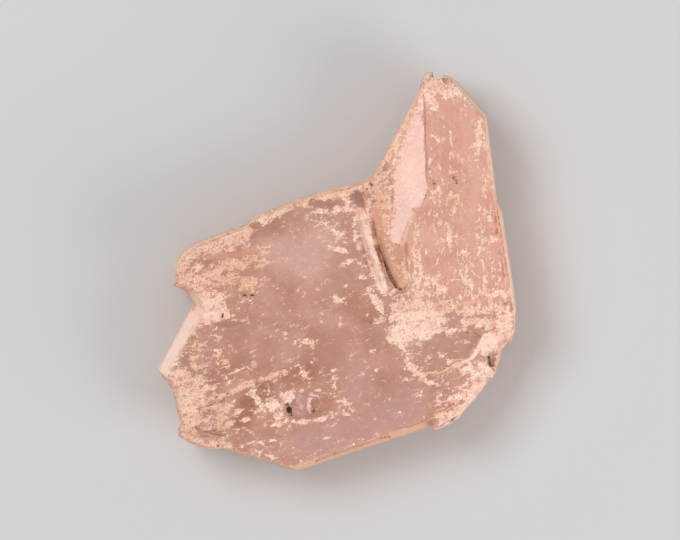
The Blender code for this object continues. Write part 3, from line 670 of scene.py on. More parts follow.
# %% Outlines of the facets
PALE_FACET = [(-21.6, -3.8), (-17.7, -4.0), (-16.4, -7.3), (-21.2, -8.2), (-22.8, -7.4)]
LONG_FACET = [(13.3, 28.2), (13.5, 22.0), (13.9, 12.3), (12.8, 9.8), (11.8, 9.7), (9.6, 4.2), (8.3, 4.6),
              (8.3, 10.0), (8.1, 15.0), (9.7, 20.6), (12.4, 27.4)]
FACET_SOFT_SIDE = [([(8.2, 9.0), (8.0, 15.0), (9.5, 20.6), (11.6, 25.6)], 1.2, 0.7)]
print("the long facet has", len(LONG_FACET), "corners and the small one", len(PALE_FACET))

# %% [markdown]
# ### Painted shade in pits and cracks
#
# Small pits and cracks are painted dark as shade, and the groove between the crystals holds the darkest
# painted shadow. The strokes and cracks are cut into the skin as well as coloured. Pits of a tenth of a
# millimetre are too small for its triangles, so they are spots of painted shade, by place and radius,
# which the material draws.

# %% Dark pits, spots and cracks
DARK = [
    ([(5.7, 7.8), (5.9, 5.4)], 0.3, 0.3),
    ([(6.2, 3.9), (6.75, 2.2), (7.65, 0.6), (8.6, -1.3), (9.15, -2.2)], 0.32, 0.42),
    ([(9.0, -2.2), (9.8, -2.8)], 0.2, 0.5),
    ([(-14.5, -3.7), (-14.1, -3.85)], 0.17, 1.0),
    ([(-13.2, -3.7), (-13.0, -3.7)], 0.14, 0.9),
    ([(-18.8, -19.5), (-18.6, -19.4)], 0.12, 0.45),
    ([(-17.1, -18.9), (-16.9, -18.9)], 0.12, 0.45),
    ([(16.5, 29.8), (17.0, 29.7)], 0.22, 0.5),
    ([(14.3, 15.9), (14.3, 15.7)], 0.16, 0.45),
    ([(14.9, 14.0), (15.1, 13.6)], 0.13, 0.4),
    ([(18.0, 14.5), (18.6, 14.0)], 0.13, 0.45),
    ([(18.5, 13.7), (18.6, 13.6)], 0.1, 0.8),
    ([(4.6, 12.8), (4.7, 12.8)], 0.15, 0.7),
    ([(5.2, 13.8), (5.4, 13.4)], 0.22, 0.5),
    ([(-17.8, -7.05), (-17.75, -6.6)], 0.12, 0.7),
    ([(-22.6, -2.7), (-22.3, -2.9)], 0.14, 0.5),
    ([(-17.1, 6.0), (-16.7, 5.95)], 0.16, 0.6),
    ([(-22.0, -24.1), (-21.6, -24.5)], 0.2, 0.4),
    ([(-7.7, -20.6), (-7.5, -21.2), (-7.1, -22.1)], 0.24, 0.55),
    ([(-3.9, -21.3), (-3.6, -21.6)], 0.24, 0.5),
    ([(23.6, -13.3), (23.8, -14.6), (24.4, -15.0)], 0.2, 0.6),
    ([(-18.6, -27.0), (-18.3, -27.1)], 0.12, 0.4),
    ([(3.0, 11.8), (3.9, 10.9)], 0.8, 0.1),
    ([(13.55, 26.0), (13.7, 20.0), (13.9, 14.0)], 0.16, 0.2),
]
# Painted shade in pits too small for a stroke: x, y and radius.
SPOTS = [
    (-14.42, -3.66, 0.15), (-14.12, -3.76, 0.09), (-13.15, -3.65, 0.07), (-18.72, -19.45, 0.07),
    (-17.0, -18.9, 0.08), (14.9, 13.95, 0.06), (15.05, 13.62, 0.07), (18.1, 14.45, 0.06),
    (18.42, 14.12, 0.1), (18.56, 13.68, 0.05), (-17.8, -7.0, 0.06), (-17.74, -6.62, 0.05),
    (-22.45, -2.8, 0.05), (4.62, 12.8, 0.06), (16.62, 29.82, 0.12), (-18.45, -27.05, 0.06),
]
CRACKS = [
    ([(-21.9, -21.3), (-19.8, -20.8), (-17.5, -19.9)], 0.1, 0.5),
    ([(-20.8, -24.9), (-18.6, -24.7), (-16.2, -24.0)], 0.09, 0.4),
    ([(-20.2, -25.0), (-17.4, -25.6)], 0.1, 0.45),
    ([(23.0, -4.6), (24.6, -4.75), (26.6, -4.95)], 0.08, 0.45),
    ([(24.8, 9.8), (25.5, 5.0), (26.1, 1.5), (26.8, -2.0), (27.2, -6.4)], 0.08, 0.4),
    ([(19.6, -9.4), (21.0, -9.3), (22.3, -10.1)], 0.1, 0.35),
    ([(15.2, -24.3), (17.2, -23.4), (18.8, -22.6)], 0.12, 0.6),
    ([(5.1, -7.9), (6.6, -7.6), (8.0, -7.1)], 0.12, 0.4),
    ([(14.0, -23.2), (11.0, -24.4)], 0.14, 0.4),
]
print(len(DARK), "dark strokes,", len(SPOTS), "spots and", len(CRACKS), "cracks")

# %% [markdown]
# ### Rounded steps and cool slopes
#
# Where crust has filled a step of the imported form, the step is drawn as a soft bend. Steep faces on the
# outside get a painted warm glow, for light coming through them where they are thin, but the slopes
# inside the front are backed by thick crystal and get no painted glow, so they stay as cool as the window
# round them.

# %% Softened steps and inner slopes
SOFTENED = [
    ([(8.6, -7.2), (16.0, -6.2), (27.0, -4.6)], 0.9, 1.0),
    ([(27.2, -5.0), (25.3, 8.0), (24.5, 12.0)], 0.4, 0.6),
    ([(-17.0, -4.0), (-21.5, -3.2), (-24.4, -2.8)], 0.8, 1.0),
    ([(-15.8, -7.4), (-21.8, -8.4)], 0.5, 0.7),
    ([(4.9, 13.9), (5.2, 10.0), (5.6, 7.8)], 0.6, 1.0),
    ([(10.1, 7.4), (10.9, 5.0)], 0.35, 0.8),
    ([(-20.8, 2.2), (-13.0, 3.9), (-8.6, 5.8)], 0.6, 0.7),
    ([(-21.4, -21.0), (-14.0, -18.0), (-7.6, -15.4)], 0.4, 0.5),
    ([(-8.6, -21.4), (-4.6, -20.8), (-0.6, -20.3)], 2.6, 0.12),
    ([(15.0, -23.6), (18.5, -21.6), (21.4, -19.4)], 0.7, 0.9),
    ([(14.8, -16.1), (17.5, -8.9), (20.7, -9.3)], 0.4, 1.0),
]
INNER_SLOPES = [
    ([(-7.8, -20.9), (-1.2, -20.5)], 2.4, 1.0),
    ([(-21.0, 2.6), (-12.6, 3.4)], 0.9, 0.7),
    ([(-20.5, -7.6), (-12.5, -7.9)], 0.9, 1.0),
    ([(-22.0, -21.5), (-16.0, -24.5)], 1.8, 0.8),
    ([(5.0, 10.0), (6.6, 3.0), (9.4, -2.6)], 1.2, 0.7),
]
print(len(SOFTENED), "steps are softened and", len(INNER_SLOPES), "slopes stay cool")

# %% [markdown]
# ## Noise that breaks the strokes up
#
# Noise on three scales turns the strokes into crust: wide swells, patches of about a millimetre that are
# stretched along each crystal's growth, and ragged grains. The growth runs up and down on the tall crystal
# and slants up to the right on the wide one, so the points are squeezed that way before the noise is read.

# %% Noise along the growth
TALL_GROWTH = (1.5, 0.75, 1.0)
WIDE_GROWTH = (0.7, 1.25, 1.0)
WIDE_TURN = math.radians(19)


def roughness_at(points, size, octaves=3, offset=0.0):
    """Fractal noise at each point, with swells about this many millimetres long."""
    shift = Vector((offset, -offset, 0.5 * offset))
    return np.array([noise.fractal(Vector(p) / size + shift, 1.0, 2.0, octaves) for p in points])


def is_tall(points):
    """1 on the tall crystal and 0 on the wide one, with a soft change at their join."""
    beside = smooth_step(9.5, 11.5, points[:, 0] + 0.15 * points[:, 1])
    above = smooth_step(-7.5, -5.0, points[:, 1])
    return beside * above


def along_growth(points):
    """The points squeezed along each crystal's growth, so that noise there is drawn out in streaks."""
    c, s = math.cos(WIDE_TURN), math.sin(WIDE_TURN)
    x, y, z = points.T
    turned = np.column_stack([x * c + y * s, y * c - x * s, z]) * WIDE_GROWTH
    tall = is_tall(points)[:, None]
    return turned * (1 - tall) + points * TALL_GROWTH * tall


print("the tall crystal holds", round(100 * float(is_tall(places).mean())), "percent of the points")

# %% [markdown]
# ## Where crust grows
#
# Two masks come before the crust. The first tells the faces that look up from the sides and the back,
# where no stroke reaches and crust lies in even patches. The second is the long facet, which stays bare.
# A threshold then turns the strokes and the noise into crust, and the same numbers raise it from the
# windows and colour it, so relief and colour fit.

# %% Front, facet and crust
CRUST_EDGE = 0.62
CRUST_RISE = 0.2
LEAST_STROKE, MOST_STROKE = -0.3, 1.15
FACET_CRUST = 0.98
CRUST_AROUND = 0.6


def on_the_front(points, normals):
    """1 on the faces that look up and 0 on the sides and the back."""
    return smooth_step(-0.02, 0.24, normals[:, 2]) * smooth_step(5.0, 7.0, points[:, 2])


def filled(points, outline, softness=0.15):
    """1 inside a closed outline over the front, 0 outside, and a soft change at its edge."""
    inside = np.zeros(len(points), bool)
    x, y = points[:, 0], points[:, 1]
    for (x0, y0), (x1, y1) in zip(outline, outline[1:] + outline[:1]):
        if y0 != y1:
            inside ^= ((y0 > y) != (y1 > y)) & (x < x0 + (y - y0) * (x1 - x0) / (y1 - y0))
    away = distance_to_path(points, outline + outline[:1])
    return smooth_step(-softness, softness, np.where(inside, away, -away))


def facet_share(points):
    """1 on the long pale facet, with a sharp right side and a side on the left that noise can break up."""
    return filled(points, LONG_FACET) * (1 - painted(points, FACET_SOFT_SIDE, 0.2, 1.6))


def crust_at(points, normals):
    """How strongly crust grows at each point. It shows above CRUST_EDGE."""
    strokes = [stroke for group in CRUST.values() for stroke in group]
    grain = roughness_at(along_growth(points), 1.1, 4)
    front = painted(points, strokes, 0.2, 1.6) - painted(points, CLEAR, 0.3, 1.6)
    front = np.clip(front, LEAST_STROKE, MOST_STROKE) + 0.35 * grain
    front *= 1 - facet_share(points)
    front = np.maximum(front, FACET_CRUST * filled(points, PALE_FACET))
    swell = roughness_at(points, 7.0, 2, 3.0)
    around = CRUST_AROUND + 0.4 * swell + 0.45 * grain
    share = on_the_front(points, normals)
    return front * share + around * (1 - share)


crust = crust_at(places, facing)
crusted = smooth_step(CRUST_EDGE - CRUST_RISE, CRUST_EDGE + CRUST_RISE, crust)
front_share = on_the_front(places, facing)
print("crust covers", round(100 * float(crusted.mean())), "percent of the skin")

# %% [markdown]
# ## Carving the relief
#
# Every cut goes inward, so the cluster never grows past its own size. On the outline as it shows from
# above, the cuts are held back too, or they would nibble the outline away. Rays sent down just outside a
# point tell whether it lies there: where one passes the form without a touch, the outline is near.

# %% How near the outline is
OUTLINE_STEPS = (0.06, 0.12, 0.18, 0.24)
OUTLINE_FALL = 0.7
LEAST_LEAN = 0.2
ABOVE_ALL = 20.0


def outline_nearness(points, normals):
    """1 on the outline as it shows from above, less up to the last step inside it, and 0 beyond."""
    down = Vector((0, 0, -1))
    near = np.zeros(len(points))
    for row, (point, normal) in enumerate(zip(points, normals)):
        outward = Vector((normal[0], normal[1], 0))
        if outward.length < LEAST_LEAN:
            continue
        outward.normalize()
        for step in OUTLINE_STEPS:
            above = Vector(point) + outward * step
            above.z = ABOVE_ALL
            if form_faces.ray_cast(above * MM, down)[0] is None:
                near[row] = 1 - step / OUTLINE_STEPS[-1] * OUTLINE_FALL
                break
    return near


nearness = outline_nearness(places, facing)
print(int((nearness > 0).sum()), "points lie on the outline")

# %% [markdown]
# Windows lie a tenth of a millimetre under the crust, the crust is rough, cracks are narrow and pits are
# deeper. On the sides, fine ribs run level round the crystals, as on real quartz, where the prism faces
# are striped across their length. A sine along the height gives the ribs, and noise bends them.

# %% Cutting inward
WINDOW_DEPTH = 0.11
GRAIN_DEPTH = 0.10
SWELL_DEPTH = 0.07
RIB_DEPTH = 0.09
RIB_SPACING = 0.75
CRACK_DEPTH = 0.3
PIT_DEPTH = 0.35
HELD_BACK = 0.85

grain = 0.5 + 0.5 * roughness_at(along_growth(places), 0.55, 3, 11.0)
swell = 0.5 + 0.5 * roughness_at(places, 2.6, 2, 23.0)
rib_phase = places[:, 2] / RIB_SPACING + 0.5 * roughness_at(places, 4.0, 2, 31.0)
ribs = 0.5 + 0.5 * np.sin(2 * math.pi * rib_phase)
side_share = smooth_step(0.25, 0.75, 1 - np.abs(facing[:, 2]))
cut = WINDOW_DEPTH * (1 - crusted) + GRAIN_DEPTH * crusted * np.clip(grain, 0, 1)
cut += SWELL_DEPTH * np.clip(swell, 0, 1) + RIB_DEPTH * ribs * side_share
cut += CRACK_DEPTH * painted(places, CRACKS, 0.2, 1.6) * front_share
cut += PIT_DEPTH * painted(places, DARK, 0.2, 1.4) * front_share
cut *= 1 - HELD_BACK * nearness
carved = places - facing * np.clip(cut, 0, None)[:, None]
print("cuts are", round(float(cut.min()), 2), "to", round(float(cut.max()), 2), "mm deep")

# %% [markdown]
# A step that crust has filled is rounded last. Each of its points is drawn towards the middle of its
# neighbours again and again, which flattens sharp bends first. The Smooth modifier does the same with a
# vertex group, but the shares are already here as numbers.

# %% Rounding where the crust fills a step
SOFT_ROUNDS = 24
SAME_POINT = 0.02 * MM


def softened(points, mesh, share):
    """The points drawn towards the middle of their neighbours, as far as their share allows."""
    edges = np.zeros(len(mesh.edges) * 2, int)
    mesh.edges.foreach_get("vertices", edges)
    first, second = edges.reshape(-1, 2).T
    neighbours = np.bincount(edges, minlength=len(points))
    for _ in range(SOFT_ROUNDS):
        sums = [np.bincount(first, column[second], len(points))
                + np.bincount(second, column[first], len(points)) for column in points.T]
        points = points + share[:, None] * (np.array(sums) / neighbours - points.T).T
    return points


carved = softened(carved, cluster.data, painted(places, SOFTENED) * front_share)
cluster.data.vertices.foreach_set("co", (carved * MM).ravel())
joined = bmesh.new()
joined.from_mesh(cluster.data)
bmesh.ops.remove_doubles(joined, verts=joined.verts, dist=SAME_POINT)
joined.to_mesh(cluster.data)
joined.free()
print(len(carved) - len(cluster.data.vertices), "points fell together and were joined")

# %% [markdown]
# The flat windows need fewer triangles than the crust. The Decimate modifier joins those that lie in
# one plane first, so the detail stays where it is.

# %% Fewer triangles where it is flat
MOST_TRIANGLES = 196000
triangles = sum(len(face.vertices) - 2 for face in cluster.data.polygons)
thin_out = cluster.modifiers.new("thin out", "DECIMATE")
thin_out.ratio = min(1.0, MOST_TRIANGLES / triangles)
take_modifiers(cluster)
print("from", triangles, "to", sum(len(face.vertices) - 2 for face in cluster.data.polygons), "triangles")

# %% [markdown]
# ## How thin the crystal is
#
# Quartz lets light through where it is thin, and its sharp edges glow. Real light through it would be
# slow to render and wouldn't survive being baked, so the glow is painted into the colour and thinness is
# measured to place it: rays go into the crystal from each point, one straight and three on a slant, and
# the nearer the far side is, the thinner it is there.

# %% Rays into the crystal
THICKEST = 6.0
GLOW_REACH = 0.9
UNDER_THE_SKIN = 0.01
SLANTS = [Vector((0, 0, 0)), Vector((0.6, 0.3, 0)), Vector((-0.6, 0.3, 0)), Vector((0, -0.6, 0.2))]


def thinness(points, normals):
    """1 where the crystal is a sharp edge and 0 where it is thick."""
    thin = np.zeros(len(points))
    for row, (point, normal) in enumerate(zip(points, normals)):
        inward = -Vector(normal)
        start = Vector(point) * MM + inward * UNDER_THE_SKIN * MM
        total = 0
        for slant in SLANTS:
            far = form_faces.ray_cast(start, (inward + slant).normalized(), THICKEST * MM)[3]
            total += math.exp(-(far / MM if far is not None else THICKEST) / GLOW_REACH)
        thin[row] = total / len(SLANTS)
    return thin


places, facing = on_the_form(columns(cluster.data))
thin = thinness(places, facing)
print("the thinness runs from", round(float(thin.min()), 2), "to", round(float(thin.max()), 2))

# %% [markdown]
# ## Attributes for the material
#
# The material can't read a stroke, but it can read a number stored on each point. Every list of strokes
# becomes one attribute of the mesh, and so do the thin places, the steep ones and the rim. They follow
# the surface, whatever later happens to it, and need no unwrapping.

# %% One number for each point
front_share = on_the_front(places, facing)
steep = smooth_step(0.25, 0.7, 1 - np.abs(facing[:, 2]))
rim = smooth_step(0.3, 0.8, outline_nearness(places, facing))
PAINT = {
    "crust": crust_at(places, facing),
    "stain": painted(places, STAINS) * front_share,
    "tan": painted(places, TAN) * front_share + 0.6 * (1 - front_share),
    "rose": np.maximum(facet_share(places), painted(places, ROSE)) * front_share,
    "lavender": painted(places, LAVENDER) * front_share,
    # painted shade in pits, cracks and the groove
    "dark": np.maximum(1.5 * painted(places, DARK, 0.5, 1.4), painted(places, CRACKS, 0.4, 1.5)),
    "tall": is_tall(places),
    "thin": thin,
    # steep faces without the inner slopes: where a warm glow is painted, and the coat is thinner
    "steep": steep * (1 - painted(places, INNER_SLOPES)),
    "brown": painted(places, BROWN) * front_share,
    # the outline as seen from above, where an orange glow is painted
    "rim": rim * smooth_step(-0.04, 0.04, facing[:, 2]),
    "front": front_share,
    "pitted": painted(places, PITTED, 0.4, 1.5) * front_share,
    # paler crust, and painted light on steep bevels
    "pale": painted(places, PALE_AND_PAINTED_LIGHT, 0.4, 1.4) * front_share,
}
for name, values in PAINT.items():
    attribute = cluster.data.attributes.new(name, "FLOAT", "POINT")
    attribute.data.foreach_set("value", values.astype(np.float32))
cluster.data.shade_smooth()
print("painted", ", ".join(PAINT))

# %% [markdown]
# ## The finish
#
# Shader nodes are easier to read as sums. The class below wraps one socket, so that 1 - mask or
# cloud * 0.5 adds the Math node that it stands for. Every other kind of node comes from one method.

# %% Sums of sockets
THREAD_LIMIT = 0.0006  # how far noise may stray from its middle inside a thread, squared


class Wire:
    """One socket of a material, which adds, subtracts and multiplies as a number does."""

    def __init__(self, tree, socket=None):
        self.tree = tree
        self.socket = socket

    def node(self, kind, settings=None, inputs=None, output=0):
        """A node of this kind, with its settings made first, then its sockets, and one of its outputs."""
        made = self.tree.nodes.new(kind)
        for name, value in (settings or {}).items():
            setattr(made, name, value)
        for name, value in (inputs or {}).items():
            if isinstance(value, Wire):
                self.tree.links.new(value.socket, made.inputs[name])
            else:
                made.inputs[name].default_value = value
        return Wire(self.tree, made.outputs[output])

    def maths(self, operation, first, second):
        return self.node("ShaderNodeMath", {"operation": operation}, {0: first, 1: second})

    def __add__(self, other):
        return self.maths("ADD", self, other)

    def __sub__(self, other):
        return self.maths("SUBTRACT", self, other)

    def __rsub__(self, other):
        return self.maths("SUBTRACT", other, self)

    def __mul__(self, other):
        return self.maths("MULTIPLY", self, other)

    __radd__ = __add__
    __rmul__ = __mul__

    def step(self, low, high):
        """0 below low and 1 above high, with a soft rise."""
        settings = {"interpolation_type": "SMOOTHSTEP"}
        inputs = {"Value": self, "From Min": low, "From Max": high}
        return self.node("ShaderNodeMapRange", settings, inputs)

    def mix(self, first, second):
        """The first colour where this is 0, and the second where it is 1."""
        # A Mix node has sockets for every kind of value. Those for colours are 6, 7 and, out, 2.
        settings = {"data_type": "RGBA", "clamp_factor": True}
        return self.node("ShaderNodeMix", settings, {0: self, 6: first, 7: second}, 2)

    def noise(self, place, scale, detail=3.0, roughness=0.5, distortion=0.0):
        inputs = {"Vector": place, "Scale": scale, "Detail": detail, "Roughness": roughness,
                  "Distortion": distortion}
        return self.node("ShaderNodeTexNoise", None, inputs)

    def threads(self, place, scale, detail, distortion):
        """Thin winding lines, which run where noise crosses its middle."""
        middle = self.noise(place, scale, detail, 0.6, distortion) - 0.5
        return (middle * middle).step(THREAD_LIMIT, 0.0)

    def mapped(self, place, **settings):
        """A place moved, turned or stretched."""
        return self.node("ShaderNodeMapping", None, {"Vector": place, **settings})

    def painted(self, name):
        return self.node("ShaderNodeAttribute", {"attribute_name": name}, None, "Fac")


print("one class does the sums")

# %% [markdown]
# ## Colours by name
#
# Each tone of the cluster has a name, given as a screen shows it, from 0 to 255. A shader works with
# light, in which the middle tones are lower numbers, so a helper turns one into the other.

# %% Colours
def linear(red, green, blue):
    """A colour as a screen names it, 0 to 255, turned into light."""
    def one(value):
        value /= 255
        return value / 12.92 if value <= 0.04045 else ((value + 0.055) / 1.055) ** 2.4
    return (one(red), one(green), one(blue), 1.0)


COLOURS = {
    "brown": linear(184, 137, 120),
    "pale brown": linear(198, 153, 140),
    "deep brown": linear(168, 118, 98),
    "peach": linear(210, 157, 140),
    "pale peach": linear(221, 173, 158),
    "lavender": linear(196, 155, 148),
    "rose": linear(238, 194, 184),
    "pale rose": linear(252, 216, 208),
    "wisp": linear(232, 188, 172),
    "tan": linear(228, 174, 146),
    "cream": linear(254, 219, 200),
    "dull cream": linear(226, 180, 160),
    "haze": linear(234, 190, 170),
    "yellow": linear(232, 188, 146),
    # painted shade in pits, cracks and the groove
    "painted shade": linear(88, 52, 34),
    "pit": linear(158, 98, 74),
    "peach cream": linear(240, 200, 176),
    # paler crust, and painted light on steep bevels
    "pale": linear(254, 221, 206),
    "edge shadow": linear(158, 106, 88),
    # painted glow of thin edges and the outline
    "glow": linear(230, 142, 106),
    "rosy cream": linear(242, 200, 188),
    # painted glow of steep outer faces
    "painted slope glow": linear(252, 190, 160),
}
print("the cluster has", len(COLOURS), "colours")

# %% [markdown]
# ## A material and its noises
#
# The material goes from the inside out: the glassy body, the cream crust over it, then stain, painted shade
# in the cuts and the painted warm light of thin edges. All of it reads Object coordinates, in millimetres,
# so the pattern sits in the stone. Four noises are shared: clouds some six millimetres wide, veils of
# one, grit of half a millimetre, and finer grains.

# %% Pink quartz
quartz = bpy.data.materials.new("pink quartz with cream crust")
quartz.use_nodes = True
tree = quartz.node_tree
shader = next(node for node in tree.nodes if node.type == "BSDF_PRINCIPLED")
wire = Wire(tree)
shares = {name: wire.painted(name) for name in PAINT}

place = wire.mapped(wire.node("ShaderNodeTexCoord", output="Object"), Scale=(1 / MM, 1 / MM, 1 / MM))
up_the_tall = wire.mapped(place, Scale=TALL_GROWTH)
along_the_wide = wire.mapped(wire.mapped(place, Rotation=(0, 0, -WIDE_TURN)), Scale=WIDE_GROWTH)

cloud = wire.noise(place, 0.16, 4, 0.55, 0.6)
veil = wire.noise(place, 0.9, 5, 0.6, 0.4)
grit = wire.noise(place, 2.3, 4, 0.6)
fine = wire.noise(place, 5.0, 3, 0.6)


def tinted(under, share, name):
    """A colour with another one laid over it, as far as the share says."""
    return share.mix(under, COLOURS[name])


print("the material reads", len(shares), "attributes")

# %% [markdown]
# ## The glassy body
#
# The wide crystal is a dusky brown pink and the tall one a clearer peach. Both drift from dark to light
# in soft clouds. Lavender, tan and rose then lie over them where they were painted, each broken up by
# the veils so that no border is even.

# %% Body colours
drift = (cloud + veil * 0.25).step(0.45, 0.8)
wide = tinted(COLOURS["brown"], drift, "pale brown")
tall = tinted(COLOURS["peach"], drift, "pale peach")
body = shares["tall"].mix(wide, tall)
body = tinted(body, shares["lavender"] * (veil + 0.4), "lavender")
body = tinted(body, shares["tan"] * (veil + 0.5), "tan")
rose = tinted(COLOURS["rose"], (fine + (grit - 0.5) * 1.4).step(0.32, 0.68), "pale rose")
rose = tinted(rose, (veil + grit * 0.5).step(0.7, 0.85) * 0.6, "peach cream")
rosy = shares["rose"] + (veil - 0.5) * 1.6 + (grit - 0.5) * 1.2
body = rosy.step(0.3, 0.6).mix(body, rose)
print("the body mixes", len(tree.nodes), "nodes")

# %% [markdown]
# ## The border of the crust
#
# Seen close up, the crust ends in lace: threads and islands finer than the triangles of the skin. So the
# material adds a noise of its own to the painted crust before it decides where the crust ends. That
# noise is stretched along the growth of each crystal, as the relief is.

# %% Lace
lace_wide = wire.noise(along_the_wide, 1.1, 6, 0.72, 0.4)
lace_tall = wire.noise(up_the_tall, 1.1, 6, 0.72, 0.4)
lace = lace_wide + (lace_tall - lace_wide) * shares["tall"]
ragged = shares["crust"] + (lace - 0.5) * 4.2 + (fine - 0.5) * 1.3
crust_mask = ragged.step(CRUST_EDGE - 0.08, CRUST_EDGE + 0.08)
print("crust shows where the sum is over", CRUST_EDGE)

# %% [markdown]
# ## Under the crust
#
# A window isn't quite clear. White wisps run through it, brown shadows lie in it, a thin haze comes
# before the crust, and the crust's own edge throws a faint shadow on it.

# %% Wisps, haze and shadow
wisps = wire.threads(place, 1.3, 4, 1.2) * wire.noise(place, 0.35, 3, 0.6).step(0.5, 0.62)
body = tinted(body, wisps * 0.4, "wisp")
body = tinted(body, shares["brown"] * (veil + 0.45), "deep brown")
hazy = shares["tall"] * 0.15 + shares["crust"].step(0.5, 1.0) * 0.3 + 0.15
body = tinted(body, ragged.step(0.0, CRUST_EDGE) * hazy, "haze")
edge_shadow = ragged.step(CRUST_EDGE - 0.3, CRUST_EDGE - 0.05) * (1 - crust_mask)
body = tinted(body, edge_shadow * shares["crust"].step(0.25, 0.6) * 0.4, "edge shadow")
print("the windows have wisps, brown shadows, haze and a shadow")

# %% [markdown]
# ## The cream crust
#
# The crust is mottled: light where it is thick, duller at its border, pink in places and yellow where
# iron has stained it. Pits and worm-like lines a few tenths of a millimetre wide make it look eroded.

# %% Cream
lightness = (ragged - CRUST_EDGE) * 0.6 + (grit - 0.5) * 3.6 + (fine - 0.5) * 3.0 + 0.55
cream = tinted(COLOURS["dull cream"], lightness.step(0.0, 1.0), "cream")
cream = tinted(cream, veil.step(0.47, 0.6) * 0.45, "rosy cream")
cream = tinted(cream, shares["stain"] * veil * 1.25, "yellow")
cream = tinted(cream, shares["pitted"] * 0.45, "dull cream")
pits = (wire.noise(place, 3.9, 4, 0.65, 1.0) + shares["pitted"] * 0.05).step(0.59, 0.65) * 0.7
worms = wire.threads(place, 1.9, 3, 1.5) * veil.step(0.48, 0.6) * 0.5
cream = tinted(cream, pits + worms, "pit")
colour = crust_mask.mix(body, cream)
print("the crust lies over the body")

# %% [markdown]
# ## Painted shade, painted glow and paler places
#
# The last colours go over body and crust alike. Steep faces on the outside get a painted warm glow, some
# places are paler, partly as painted light on steep bevels, and shade is painted into the cuts. The spots
# are measured from above, so their place is flattened first. Thin edges and the outline get a painted
# orange glow, as milky quartz glows against the light.

# %% Over body and crust
# painted glow: steep outer faces warmed as if lit through the thin crystal
colour = tinted(colour, shares["steep"] * 0.4, "painted slope glow")
# paler crust, and painted light on steep bevels
colour = tinted(colour, shares["pale"] * ((fine - 0.5) * 1.6 + 0.62), "pale")
# painted shade in pits, cracks and the groove
colour = tinted(colour, shares["dark"] * shares["front"] * ((fine - 0.5) * 5.0 + 1.0), "painted shade")
# painted shade in the smallest pits, drawn as spots
flat = wire.mapped(place, Scale=(1, 1, 0))
spots = 0
for x, y, radius in SPOTS:
    gap = wire.node("ShaderNodeVectorMath", {"operation": "DISTANCE"}, {0: flat, 1: (x, y, 0)}, "Value")
    spots = (gap + (fine - 0.5) * 1.2).step(radius * 1.4, radius * 0.6) + spots
colour = tinted(colour, spots * shares["front"] * 0.75, "painted shade")
# painted glow on thin edges and along the outline seen from above
colour = tinted(colour, shares["thin"].step(0.35, 0.8) * 0.4, "glow")
colour = tinted(colour, shares["rim"] * (veil.step(0.42, 0.58) * 0.5 + 0.35), "glow")
tree.links.new(colour.socket, shader.inputs["Base Color"])
print("the colour is ready")

# %% [markdown]
# ## Gloss and fine relief
#
# Crust is rough, and windows are satin under a thin gloss. The gloss is a coat, so that it can fade out
# on the crust and on the steep faces. The grains finer than a triangle are a bump, on top of the carving.

# %% Satin windows and rough crust
BUMP_STRENGTH = 0.55
BUMP_HEIGHT = 0.12 * MM

satin = crust_mask * 0.25 + 0.5 + (grit - 0.5) * 0.2
gloss = (1 - crust_mask) * (1 - shares["steep"] * 0.7) * 0.3
relief = crust_mask * 0.5 + grit * 0.5 + fine * 0.3 * crust_mask + veil * 0.3
bump_inputs = {"Strength": BUMP_STRENGTH, "Distance": BUMP_HEIGHT, "Height": relief}
bump = wire.node("ShaderNodeBump", None, bump_inputs)
tree.links.new(satin.socket, shader.inputs["Roughness"])
tree.links.new(gloss.socket, shader.inputs["Coat Weight"])
tree.links.new(bump.socket, shader.inputs["Normal"])
print("the bump is", BUMP_HEIGHT / MM, "mm high")

# %% [markdown]
# ## Light under the surface
#
# Light goes a little way into milky quartz and comes out beside where it went in, red the furthest. The
# shader's subsurface part does this with three plain values. The plain reflection is left out, because
# the coat already gives the windows theirs and the crust has none.

# %% Values on the shader itself
SHADER_VALUES = {
    "Subsurface Weight": 0.65,
    "Subsurface Radius": (1.0, 0.5, 0.35),
    "Subsurface Scale": 2.5 * MM,
    "IOR": 1.54,
    "Specular IOR Level": 0.0,
    "Coat Roughness": 0.3,
}
for name, value in SHADER_VALUES.items():
    shader.inputs[name].default_value = value
cluster.data.materials.clear()
cluster.data.materials.append(quartz)
print("the finish has", len(tree.nodes), "nodes")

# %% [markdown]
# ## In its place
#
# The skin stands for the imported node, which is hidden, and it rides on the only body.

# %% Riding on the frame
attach(cluster, "root")
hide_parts("quartz_cluster")
print(cluster.name, "rides on root")

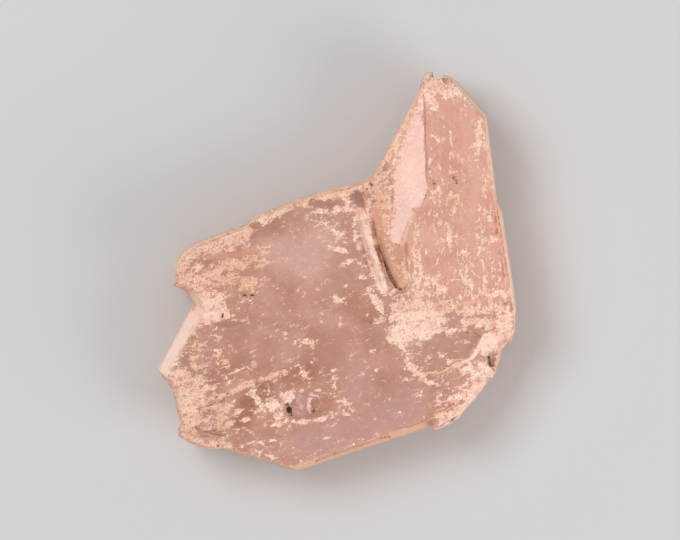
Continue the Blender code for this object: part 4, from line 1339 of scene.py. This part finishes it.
# %% [markdown]
# ## The floor
#
# The cluster lies on a pale table, whose far sides are out of view. A grid of one cell is all it needs,
# with a rough grey finish, so that only the shadow of the cluster shows on it.

# %% A pale table
FLOOR_SIDE = 3.0
PAPER_GREY = (0.60, 0.60, 0.60, 1)

floor_shape = bmesh.new()
bmesh.ops.create_grid(floor_shape, x_segments=1, y_segments=1, size=FLOOR_SIDE / 2)
floor_mesh = bpy.data.meshes.new("pale table")
floor_shape.to_mesh(floor_mesh)
floor_shape.free()
floor = bpy.data.objects.new("pale table", floor_mesh)
bpy.context.scene.collection.objects.link(floor)
paper = bpy.data.materials.new("pale paper")
paper.use_nodes = True
paper_shader = next(node for node in paper.node_tree.nodes if node.type == "BSDF_PRINCIPLED")
paper_shader.inputs["Base Color"].default_value = PAPER_GREY
paper_shader.inputs["Roughness"].default_value = 0.9
floor_mesh.materials.append(paper)
print("the table is", FLOOR_SIDE, "m wide")

# %% [markdown]
# ## The light
#
# A large soft lamp at the upper left and an even warm grey surround: the faces that look up and to the
# left are bright, and those that look down and to the right are darker. A weak lamp on the other side
# keeps those from going black. Small lamps would throw hard shadows into every pit.

# %% Soft lamps
SURROUND_COLOUR = (1.0, 0.97, 0.95, 1)
SURROUND_STRENGTH = 0.54


def soft_lamp(name, place, side, power):
    """A square lamp at this place that points at the cluster."""
    data = bpy.data.lights.new(name, "AREA")
    data.size = side
    data.energy = power
    lamp = bpy.data.objects.new(name, data)
    lamp.location = place
    lamp.rotation_euler = Vector(place).to_track_quat("Z", "Y").to_euler()
    bpy.context.scene.collection.objects.link(lamp)


soft_lamp("soft lamp at the upper left", (-0.34, 0.22, 0.62), 0.34, 2.52)
soft_lamp("weak lamp at the lower right", (0.5, -0.3, 0.28), 0.4, 2.0)
world = bpy.data.worlds.new("studio")
world.use_nodes = True
surround = world.node_tree.nodes["Background"]
surround.inputs["Color"].default_value = SURROUND_COLOUR
surround.inputs["Strength"].default_value = SURROUND_STRENGTH
bpy.context.scene.world = world
bpy.context.scene.view_settings.view_transform = "Standard"
print("two lamps and a grey surround")
